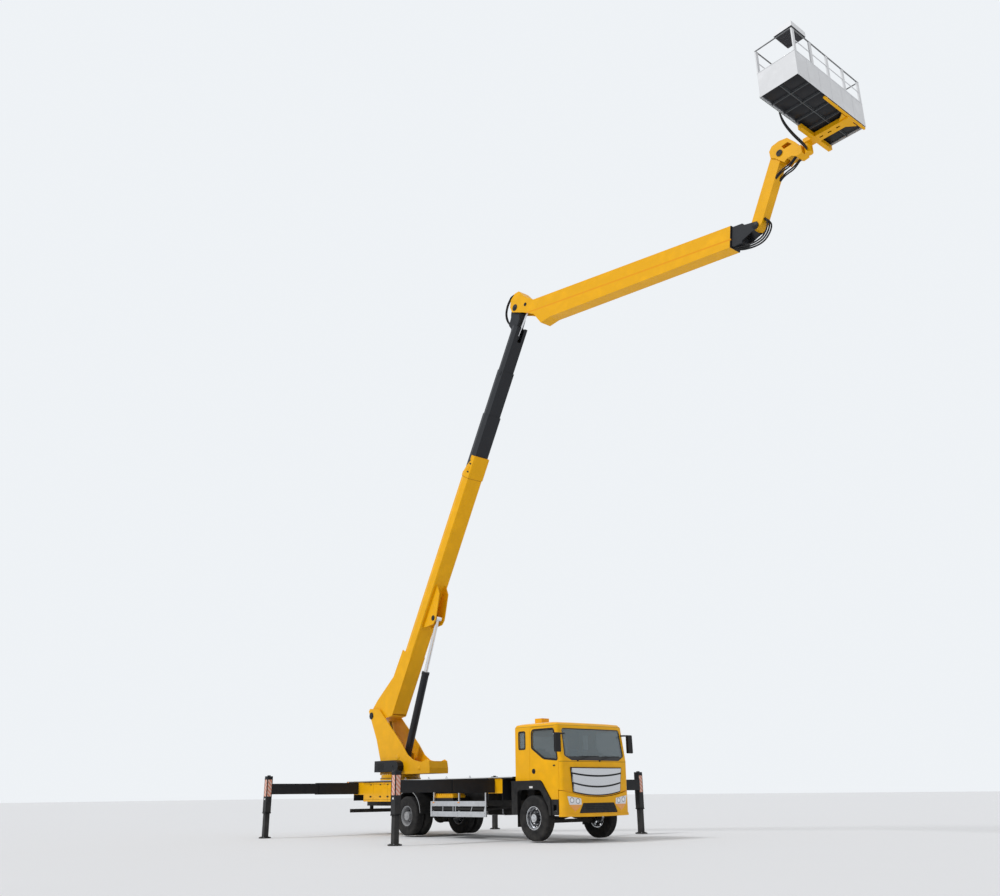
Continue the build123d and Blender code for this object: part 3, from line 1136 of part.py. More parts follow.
def mirrors():
    """Door mirrors on bent arms from the windscreen pillars."""
    solids = []
    for side in (-1, 1):
        y0, y1 = sorted((side * (CAB_HALF - 100), side * (CAB_HALF + 130)))
        arm = block(CAB_X1 - 130, CAB_X1 + 20, y0, y1, 2390, 2420) - cab_body(SEAT_GAP)
        y0, y1 = sorted((side * (CAB_HALF + 45), side * (CAB_HALF + 200)))
        head = [(CAB_X1 - 40, 1990.0, 25.0), (CAB_X1 + 40, 1990.0, 25.0), (CAB_X1 + 30, 2425.0, 30.0), (CAB_X1 - 40, 2425.0, 30.0)]
        solids.append(arm + soft_plate(head, y0, y1))
    return solids


def steer_room():
    """Ball round the king pin that holds every place a steered tyre reaches."""
    shoulder_y = HALF_TRACK_OUT - TYRE_W / 2 - KING_PIN_Y + 0.38 * TYRE_W
    reach = math.hypot(0.985 * TYRE_R, shoulder_y) + STEER_GAP
    ball = Pos(WHEELBASE, -KING_PIN_Y, AXLE_Z) * Sphere(reach)
    return ball & block(WHEELBASE - 800, WHEELBASE + 800, -2 * HALF_TRACK_OUT, 0, FLAP_Z - 50, CAB_FLOOR + 80)


def wheel_arches():
    """Front wheel arches: inner liner, broad flare flush with the cab's edge, step box and mudflap."""
    solids = []
    room = steer_room()
    behind, ahead = WHEELBASE - 900, WHEELBASE + 800
    for side in (-1, 1):
        y0, y1 = sorted((side * FLARE_Y0, side * FLARE_Y1))
        flare = soft_plate(WHEELHOUSE, y0, y1, -SEAT_GAP) - soft_plate(FLARE_INSIDE, y0 - 1, y1 + 1)
        flare -= block(behind, ahead, y0 - 1, y1 + 1, 300, 600)
        y0, y1 = sorted((side * 640.0, side * (FLARE_Y0 + 1)))
        liner = soft_plate(WHEELHOUSE, y0, y1, -SEAT_GAP) - soft_plate(WHEELHOUSE, y0 - 1, y1 + 1, -12)
        liner -= block(behind, ahead, y0 - 1, y1 + 1, 300, CAB_FLOOR - 25)
        y0, y1 = sorted((side * 965.0, side * 1125.0))
        step = block(WHEELBASE + 560, BUMPER_X - BUMPER_WRAP - 14, y0, y1, 605, CAB_FLOOR - 1.5)
        y0, y1 = sorted((side * 1050.0, side * 1126.0))
        step -= block(WHEELBASE + 650, WHEELBASE + 760, y0, y1, 690, CAB_FLOOR - 115)
        y0, y1 = sorted((side * FLAP_Y0, side * 1140.0))
        flap = block(WHEELBASE - 587 - FLAP_T, WHEELBASE - 587, y0, y1, FLAP_Z, 640)
        arch = flare + liner + step + flap
        solids.append(arch - (room if side < 0 else mirror_y(room)))
    return solids


def build():
    export_node("chassis_frame", chassis_frame())
    export_node("axles", front_axle(), rear_axle())
    export_node("engine", engine_block())
    export_node("deck", deck())
    export_node("outrigger_sleeves", sleeve(FRONT_JACK_X), sleeve(REAR_JACK_X))
    export_node("fuel_tank", fuel_tank())
    export_node("side_lockers", battery_box(), rear_locker(-1), rear_locker(1))
    export_node("side_guards", side_guard(-1), side_guard(1))
    export_node("wheel_covers", mudguard(-1), mudguard(1), *wheel_arches())
    for side, word in ((-1, "right"), (1, "left")):
        export_node(f"knuckle_{word}", knuckle(side))
        tyre_solid, rim_solid = front_wheel(side)
        export_node(f"tyre_front_{word}", tyre_solid)
        export_node(f"rim_front_{word}", rim_solid)
        tyre_solids, rim_solid = rear_wheel(side)
        export_node(f"tyres_rear_{word}", *tyre_solids)
        export_node(f"rims_rear_{word}", rim_solid)
        export_node(f"door_{word}", cab_door(side))
        export_node(f"door_glass_{word}", door_glass(side))
        for x_mid, end in ((FRONT_JACK_X, "front"), (REAR_JACK_X, "rear")):
            stage1, stage2, leg = outrigger(x_mid, side)
            export_node(f"beam_inner_{end}_{word}", stage1)
            export_node(f"beam_outer_{end}_{word}", stage2)
            export_node(f"jack_leg_{end}_{word}", leg)
    export_node("cab_shell", cab_shell())
    export_node("cab_glass", *cab_glass())
    export_node("cab_interior", *seats(), dashboard())
    export_node("grille", *grille())
    export_node("bumper", bumper())
    export_node("lamps", *lamps())
    export_node("mirrors", *mirrors())
    export_node("slewing_ring", slewing_ring())
    export_node("turret", turret())
    export_node("turret_cover", turret_cover(-1), turret_cover(1))
    boom_frame = tilted(BOOM_X, BOOM_Z, BOOM_DEG)
    export_node("boom_base", boom_frame * boom_base())
    for index in (1, 2):
        export_node(SECTIONS[index][0], boom_frame * boom_inner(index))
    export_node("boom_section_4", boom_frame * (boom_inner(3) + boom_head()))
    lift = tilted(LIFT_FOOT_X, LIFT_FOOT_Z, LIFT_DEG)
    export_node("lift_barrel", lift * cylinder_barrel(95, 45, LIFT_BARREL_R, LIFT_ROD_R, LIFT_BARREL_L, 8))
    export_node("lift_rod", lift * cylinder_rod(LIFT_L, LIFT_ROD_L, LIFT_ROD_R, 85, 40, 90, LIFT_BARREL_R))
    knee = tilted(KNEE_FOOT[0], KNEE_FOOT[1], KNEE_DEG)
    export_node("knee_barrel", knee * cylinder_barrel(45, 30, KNEE_BARREL_R, KNEE_ROD_R, KNEE_BARREL_L, 3))
    export_node("knee_rod", knee * cylinder_rod(KNEE_L, KNEE_ROD_L, KNEE_ROD_R, 52, 26, KNEE_EYE_HALF, KNEE_BARREL_R))
    arm = tilted(KNEE_X, KNEE_Z, ARM_DEG)
    export_node("upper_arm", arm * upper_arm())
    export_node("arm_fly", arm * arm_fly())
    export_node("jib", tilted(FLY_TIP_X, FLY_TIP_Z, JIB_DEG) * jib())
    export_node("platform_bracket", platform_bracket())
    export_node("basket", basket())
    export_node("platform_frame", platform_frame())
    export_node("control_box", control_box())


build()
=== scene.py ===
import logging
import math
from collections.abc import Callable
from dataclasses import dataclass, field
from enum import Enum
from functools import partial

import bmesh
import bpy
from mathutils import Matrix, Vector


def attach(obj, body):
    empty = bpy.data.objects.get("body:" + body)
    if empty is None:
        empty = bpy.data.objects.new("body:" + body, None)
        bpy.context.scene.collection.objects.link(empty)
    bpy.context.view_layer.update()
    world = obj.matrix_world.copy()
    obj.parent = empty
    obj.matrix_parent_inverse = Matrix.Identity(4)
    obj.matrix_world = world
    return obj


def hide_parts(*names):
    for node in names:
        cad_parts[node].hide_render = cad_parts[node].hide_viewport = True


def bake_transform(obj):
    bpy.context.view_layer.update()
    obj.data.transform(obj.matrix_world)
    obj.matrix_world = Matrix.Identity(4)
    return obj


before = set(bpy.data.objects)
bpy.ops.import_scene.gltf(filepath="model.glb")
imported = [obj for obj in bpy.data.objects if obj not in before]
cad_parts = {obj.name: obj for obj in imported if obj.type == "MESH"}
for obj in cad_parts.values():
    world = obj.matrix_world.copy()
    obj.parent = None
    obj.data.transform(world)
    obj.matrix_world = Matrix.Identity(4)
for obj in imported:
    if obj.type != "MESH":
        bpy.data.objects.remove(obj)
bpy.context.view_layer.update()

LOG = logging.getLogger("cherry_picker_truck")
MID_X = 5.77  # distance of the model's origin ahead of the rear axle
WHEELBASE = 5.2
AXLE_Z = 0.535
SINK = 0.001  # depth that the foot of a fitting goes into its seat
UP = Vector((0, 0, 1))


class Slot(Enum):
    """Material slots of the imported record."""

    YELLOW = "yellow_paint"
    CHARCOAL = "charcoal_paint"
    ALUMINIUM = "bare_aluminium"
    PLASTIC = "black_plastic"
    TRIM = "cab_trim"
    LENS = "lamp_lens"
    WHITE = "white_paint"
    RUBBER = "tyre_rubber"
    RIM = "rim_steel"


class Worded(Enum):
    """Base for places whose name is part of node and body names."""

    @property
    def word(self) -> str:
        """The word used in node and body names."""
        return self.name.lower()


class Side(Worded):
    """Sides of the truck; the value is the sign of Y."""

    RIGHT = -1
    LEFT = 1

    @property
    def out(self) -> Vector:
        """Direction away from the truck's middle."""
        return Vector((0, self.value, 0))

    def span(self, near: float, far: float) -> tuple[float, float]:
        """Two distances from the middle as Y values, the lower one first."""
        low, high = sorted((self.value * near, self.value * far))
        return low, high


class End(Worded):
    """Ends of the truck that carry a pair of outriggers; the value is the X of the pair's middle."""

    FRONT = 3.760
    REAR = -2.550


def truck(x: float, y: float, z: float) -> Vector:
    """Point given from the rear axle, in the frame of the model."""
    return Vector((x - MID_X, y, z))


@dataclass(frozen=True)
class Tilt:
    """Frame along an inclined member: s along it, n to its upper side."""

    x: float
    z: float
    degrees: float

    def at(self, s: float, y: float, n: float) -> Vector:
        """Point of the member in the frame of the model."""
        c, d = self.turn
        return truck(self.x + s * c - n * d, y, self.z + s * d + n * c)

    @property
    def turn(self) -> tuple[float, float]:
        """Cosine and sine of the tilt."""
        a = math.radians(self.degrees)
        return math.cos(a), math.sin(a)

    def matrix(self) -> Matrix:
        """Matrix that takes (s, y, n) to the frame of the model.

        Returns:
            The matrix.
        """
        c, d = self.turn
        turn = Matrix(((c, 0, d), (0, 1, 0), (-d, 0, c))).transposed().to_4x4()
        return Matrix.Translation(truck(self.x, 0, self.z)) @ turn

    def along(self, g: "Graph") -> "Shade":
        """Distance along the member, as a shade."""
        c, d = self.turn
        return (g.x - (self.x - MID_X)) * c + (g.z - self.z) * d

    def across(self, g: "Graph") -> "Shade":
        """Distance to the member's upper side, as a shade."""
        c, d = self.turn
        return (g.z - self.z) * c - (g.x - (self.x - MID_X)) * d


BOOM = Tilt(-3.232, 3.420, 60.5)
ARM = Tilt(3.75894, 14.96413, -8.2)
JIB = Tilt(12.290, 13.580, 63.2)


class Shade:
    """A shader socket that takes part in sums, products and masks."""

    def __init__(self, graph: "Graph", socket: bpy.types.NodeSocket) -> None:
        """Wrap one output socket of a graph."""
        self.graph = graph
        self.socket = socket

    def math(self, operation: str, first: object, second: object = 0.0, clamp: bool = False) -> "Shade":
        """Add one Math node.

        Args:
            operation: the node's operation.
            first: first value or shade.
            second: second value or shade.
            clamp: whether the result stays between 0 and 1.

        Returns:
            The node's result.
        """
        settings = {"operation": operation, "use_clamp": clamp}
        made = self.graph.node("ShaderNodeMath", settings, {0: first, 1: second})
        return Shade(self.graph, made.outputs[0])

    def __add__(self, other: object) -> "Shade":
        """Sum."""
        return self.math("ADD", self, other)

    __radd__ = __add__

    def __sub__(self, other: object) -> "Shade":
        """Difference."""
        return self.math("SUBTRACT", self, other)

    def __rsub__(self, other: object) -> "Shade":
        """Difference with the shade on the right."""
        return self.math("SUBTRACT", other, self)

    def __mul__(self, other: object) -> "Shade":
        """Product."""
        return self.math("MULTIPLY", self, other)

    __rmul__ = __mul__

    def absolute(self) -> "Shade":
        """Distance from zero."""
        return self.math("ABSOLUTE", self)

    def root(self) -> "Shade":
        """Square root."""
        return self.math("SQRT", self)

    def wave(self) -> "Shade":
        """Sine of the shade, in radians."""
        return self.math("SINE", self)

    def above(self, edge: object, soft: float = 0.002) -> "Shade":
        """Mask that is 1 above an edge."""
        return self.math("ADD", (self - edge) * (1.0 / soft), 0.5, clamp=True)

    def below(self, edge: object, soft: float = 0.002) -> "Shade":
        """Mask that is 1 below an edge."""
        return 1.0 - self.above(edge, soft)

    def between(self, low: object, high: object, soft: float = 0.002) -> "Shade":
        """Mask that is 1 between two edges."""
        return self.above(low, soft) * self.below(high, soft)

    def either(self, other: "Shade") -> "Shade":
        """Larger of two masks."""
        return self.math("MAXIMUM", self, other)


Mask = Callable[["Graph"], Shade]
Colour = tuple[float, float, float]


class Graph:
    """Node graph of one material."""

    def __init__(self, name: str) -> None:
        """Start an empty material.

        Args:
            name: name of the material.
        """
        self.material = bpy.data.materials.new(name)
        self.material.use_nodes = True
        self.tree = self.material.node_tree
        self.tree.nodes.clear()
        self.output = self.tree.nodes.new("ShaderNodeOutputMaterial")
        self._place: tuple[Shade, Shade, Shade] | None = None
        self._vector: bpy.types.NodeSocket | None = None

    def node(self, kind: str, settings: dict[str, object], values: dict[object, object]) -> bpy.types.Node:
        """Add a node, set it up and feed its sockets.

        Args:
            kind: the node's type.
            settings: properties of the node, set first.
            values: values, shades or sockets by input name or number.

        Returns:
            The new node.
        """
        made = self.tree.nodes.new(kind)
        for name, value in settings.items():
            setattr(made, name, value)
        for key, value in values.items():
            if isinstance(value, Shade):
                self.tree.links.new(value.socket, made.inputs[key])
            elif isinstance(value, bpy.types.NodeSocket):
                self.tree.links.new(value, made.inputs[key])
            else:
                made.inputs[key].default_value = value
        return made

    @property
    def vector(self) -> bpy.types.NodeSocket:
        """Object coordinates.

        Returns:
            The socket.
        """
        if self._vector is None:
            self._vector = self.node("ShaderNodeTexCoord", {}, {}).outputs["Object"]
        return self._vector

    @property
    def place(self) -> tuple[Shade, Shade, Shade]:
        """Object coordinates as three shades.

        Returns:
            The shades of X, Y and Z.
        """
        if self._place is None:
            split = self.node("ShaderNodeSeparateXYZ", {}, {0: self.vector})
            self._place = tuple(Shade(self, socket) for socket in split.outputs)
        return self._place

    @property
    def x(self) -> Shade:
        """Distance ahead of the model's origin."""
        return self.place[0]

    @property
    def y(self) -> Shade:
        """Distance to the left of the middle."""
        return self.place[1]

    @property
    def z(self) -> Shade:
        """Height over the ground."""
        return self.place[2]

    def stretched(self, scale: Colour) -> bpy.types.NodeSocket:
        """Object coordinates scaled per axis, for grain that runs one way."""
        return self.node("ShaderNodeMapping", {}, {0: self.vector, "Scale": scale}).outputs[0]

    def noise(self, scale: float, detail: float = 3.0, vector: bpy.types.NodeSocket | None = None) -> Shade:
        """Noise between 0 and 1."""
        values = {"Vector": vector or self.vector, "Scale": scale, "Detail": detail}
        return Shade(self, self.node("ShaderNodeTexNoise", {}, values).outputs[0])

    def cells(self, scale: float) -> Shade:
        """Distance to the middle of the nearest cell."""
        values = {"Vector": self.vector, "Scale": scale}
        return Shade(self, self.node("ShaderNodeTexVoronoi", {}, values).outputs["Distance"])

    def mix(self, factor: object, first: object, second: object) -> bpy.types.NodeSocket:
        """Mix two colours.

        Args:
            factor: mask, 0 for the first colour.
            first: colour or socket.
            second: colour or socket.

        Returns:
            Socket of the mixed colour.
        """
        colours = [(*c, 1.0) if isinstance(c, tuple) and len(c) == 3 else c for c in (first, second)]
        made = self.node("ShaderNodeMix", {"data_type": "RGBA"}, {0: factor, 6: colours[0], 7: colours[1]})
        return made.outputs[2]

    def blend_values(self, factor: Shade, first: Shade, second: float) -> Shade:
        """Shade that a mask replaces by a number."""
        return factor * (second - first) + first

    def bump(self, height: Shade, distance: float, strength: float = 1.0) -> bpy.types.NodeSocket:
        """Normal from a height."""
        return self.node("ShaderNodeBump", {}, {"Height": height, "Distance": distance,
                                                "Strength": strength}).outputs[0]

    def shader(self, values: dict[str, object]) -> bpy.types.NodeSocket:
        """Principled shader with the given sockets."""
        return self.node("ShaderNodeBsdfPrincipled", {}, values).outputs[0]

    def done(self, shader: bpy.types.NodeSocket) -> bpy.types.Material:
        """Plug the shader into the output."""
        self.tree.links.new(shader, self.output.inputs["Surface"])
        return self.material


@dataclass(frozen=True)
class Overlay:
    """Colour that covers part of a finish, where a mask says so."""

    mask: Mask
    colour: Colour
    roughness: float = 0.45
    metallic: float = 0.0


@dataclass
class Surface:
    """Channels of a finish while its overlays are laid on."""

    colour: object
    roughness: Shade
    metallic: object = 0.0

    def cover(self, g: Graph, overlays: tuple[Overlay, ...]) -> None:
        """Lay overlays on the channels.

        Args:
            g: graph of the material.
            overlays: the overlays, in order.
        """
        for overlay in overlays:
            mask = overlay.mask(g)
            self.colour = g.mix(mask, self.colour, overlay.colour)
            self.roughness = g.blend_values(mask, self.roughness, overlay.roughness)
            if isinstance(self.metallic, Shade) or overlay.metallic != self.metallic:
                self.metallic = mask * (overlay.metallic - self.metallic) + self.metallic

    def values(self, normal: bpy.types.NodeSocket, specular: float) -> dict[str, object]:
        """Values for the principled shader."""
        return {"Base Color": self.colour, "Roughness": self.roughness, "Metallic": self.metallic,
                "Normal": normal, "Specular IOR Level": specular}


@dataclass(frozen=True)
class PaintFinish:
    """Sprayed paint with light orange peel, road dust low down and faint scuffs."""

    name: str
    colour: Colour
    roughness: float = 0.3
    coat: float = 0.4
    dust: float = 0.25
    dust_top: float = 1.3
    overlays: tuple[Overlay, ...] = ()

    def build(self) -> bpy.types.Material:
        """Make the material.

        Returns:
            The paint.
        """
        g = Graph(self.name)
        z = g.z
        clouds = g.noise(2.2, 4.0)
        scuffs = g.noise(38.0, 5.0, g.stretched((0.35, 1.0, 1.0)))
        dark = tuple(c * 0.86 for c in self.colour)
        colour = g.mix(clouds.between(0.38, 0.62, 0.3), self.colour, dark)
        low = z.below(self.dust_top * 0.6, self.dust_top)
        film = low * g.noise(6.0, 5.0).above(0.42, 0.5) * self.dust
        worn = scuffs.above(0.71, 0.06) * 0.35
        colour = g.mix(film, colour, (0.36, 0.33, 0.29))
        colour = g.mix(worn * 0.4, colour, tuple(min(1.0, c * 0.7 + 0.06) for c in self.colour))
        roughness = film * 0.9 + worn * 0.35 + g.noise(14.0, 3.0) * 0.08 + (self.roughness - 0.04)
        surface = Surface(colour, roughness)
        surface.cover(g, self.overlays)
        peel = g.bump(g.noise(170.0, 2.0), 0.0006, 0.35)
        coat = {"Coat Weight": self.coat, "Coat Roughness": 0.12}
        return g.done(g.shader(surface.values(peel, 0.16) | coat))


@dataclass(frozen=True)
class MetalFinish:
    """Bare or plated metal with a grain along one axis."""

    name: str
    colour: Colour
    roughness: float
    grain: Colour = (1.0, 1.0, 30.0)
    grain_depth: float = 0.0002
    dirt: float = 0.2
    overlays: tuple[Overlay, ...] = ()

    def build(self) -> bpy.types.Material:
        """Make the material.

        Returns:
            The metal.
        """
        g = Graph(self.name)
        streaks = g.noise(24.0, 4.0, g.stretched(self.grain))
        grime = g.noise(9.0, 5.0).above(0.55, 0.3) * self.dirt
        colour = g.mix(grime, self.colour, tuple(c * 0.35 for c in self.colour))
        surface = Surface(colour, streaks * 0.14 + grime * 0.5 + self.roughness, 1.0)
        surface.cover(g, self.overlays)
        return g.done(g.shader(surface.values(g.bump(streaks, self.grain_depth, 0.5), 0.5)))


@dataclass(frozen=True)
class MouldedFinish:
    """Grained plastic or rubber."""

    name: str
    colour: Colour
    roughness: float = 0.6
    grain: float = 420.0
    grain_depth: float = 0.0005
    dust: float = 0.25
    overlays: tuple[Overlay, ...] = ()

    def build(self) -> bpy.types.Material:
        """Make the material.

        Returns:
            The plastic or rubber.
        """
        g = Graph(self.name)
        film = g.noise(7.0, 5.0).above(0.5, 0.4) * self.dust * g.z.below(0.9, 1.8)
        colour = g.mix(film, self.colour, (0.30, 0.28, 0.25))
        roughness = film * 0.4 + g.noise(30.0, 2.0) * 0.1 + (self.roughness - 0.05)
        surface = Surface(colour, roughness)
        surface.cover(g, self.overlays)
        return g.done(g.shader(surface.values(g.bump(g.cells(self.grain), self.grain_depth, 0.4), 0.22)))


@dataclass(frozen=True)
class GlassFinish:
    """Window glass with a black printed border where a mask says so."""

    name: str
    tint: Colour
    border: Mask | None = None

    def build(self) -> bpy.types.Material:
        """Make the material.

        Returns:
            The glass.
        """
        g = Graph(self.name)
        film = g.noise(5.0, 4.0) * 0.05 + 0.03
        pane = g.shader({"Base Color": (*self.tint, 1.0), "Roughness": film, "Alpha": 0.62, "IOR": 1.5,
                         "Specular IOR Level": 0.8})
        if self.border is None:
            return g.done(pane)
        print_normal = g.bump(g.noise(300.0, 2.0), 0.0003, 0.3)
        band = g.shader({"Base Color": (0.012, 0.012, 0.013, 1.0), "Roughness": 0.35,
                         "Normal": print_normal})
        mixed = g.node("ShaderNodeMixShader", {}, {0: self.border(g), 1: pane, 2: band})
        return g.done(mixed.outputs[0])


@dataclass(frozen=True)
class LampFinish:
    """Ribbed lens over reflector bowls, with colours by zone."""

    name: str
    base: Colour
    zones: tuple[Overlay, ...] = ()
    bowls: tuple[tuple[float, float, float], ...] = ()

    def build(self) -> bpy.types.Material:
        """Make the material.

        Returns:
            The lens.
        """
        g = Graph(self.name)
        _, y, z = g.place
        ribs = (y * 900.0).wave() * 0.5 + 0.5
        colour = g.mix(ribs * 0.25, self.base, tuple(c * 0.6 for c in self.base))
        for zone in self.zones:
            colour = g.mix(zone.mask(g), colour, zone.colour)
        for bowl_y, bowl_z, radius in self.bowls:
            across = y.absolute() - bowl_y
            up = z - bowl_z
            distance = (across * across + up * up).root()
            colour = g.mix(distance.between(radius * 0.82, radius, 0.006), colour, (0.03, 0.03, 0.035))
            colour = g.mix(distance.below(radius * 0.45, 0.01), colour, (0.95, 0.96, 1.0))
        normal = g.bump(ribs, 0.0008, 0.5)
        return g.done(g.shader({"Base Color": colour, "Roughness": ribs * 0.05 + 0.06, "Normal": normal,
                                "Coat Weight": 1.0, "Coat Roughness": 0.03}))


@dataclass(frozen=True)
class ClothFinish:
    """Woven seat cloth with sewn seams."""

    name: str
    colour: Colour
    thread: float = 700.0

    def build(self) -> bpy.types.Material:
        """Make the material.

        Returns:
            The cloth.
        """
        g = Graph(self.name)
        x, y, z = g.place
        warp = (y * self.thread).wave() * 0.5 + 0.5
        weft = ((x + z) * self.thread).wave() * 0.5 + 0.5
        weave = warp * weft
        seam = (y * 57.0).wave().absolute().below(0.08, 0.06)
        colour = g.mix(weave * 0.6, self.colour, tuple(c * 0.5 for c in self.colour))
        colour = g.mix(seam, colour, tuple(c * 0.25 for c in self.colour))
        normal = g.bump(weave * 0.4 - seam, 0.0015, 0.8)
        return g.done(g.shader({"Base Color": colour, "Roughness": 0.85 + weave * 0.1, "Normal": normal,
                                "Sheen Weight": 0.3}))


def corner_stripes(g: Graph) -> Shade:
    """Narrow slanting bars of a warning strip, over height and width."""
    x, y, z = g.place
    return ((z + x + y) * 60.0).wave().above(0.0, 0.8)


def curved_band(g: Graph, half: float, top: tuple[float, float], low: tuple[float, float]) -> Shade:
    """Band in the front view whose edges sag from the sides to the middle.

    Args:
        g: graph of the material.
        half: half width at which the side heights hold.
        top: height of the upper edge at the sides and in the middle.
        low: height of the lower edge at the sides and in the middle.

    Returns:
        Mask that is 1 inside the band.
    """
    _, y, z = g.place
    share = (y * (1.0 / half)) * (y * (1.0 / half))
    upper = share * (top[0] - top[1]) + top[1]
    lower = share * (low[0] - low[1]) + low[1]
    return z.between(lower, upper, 0.003) * y.absolute().below(half, 0.004)


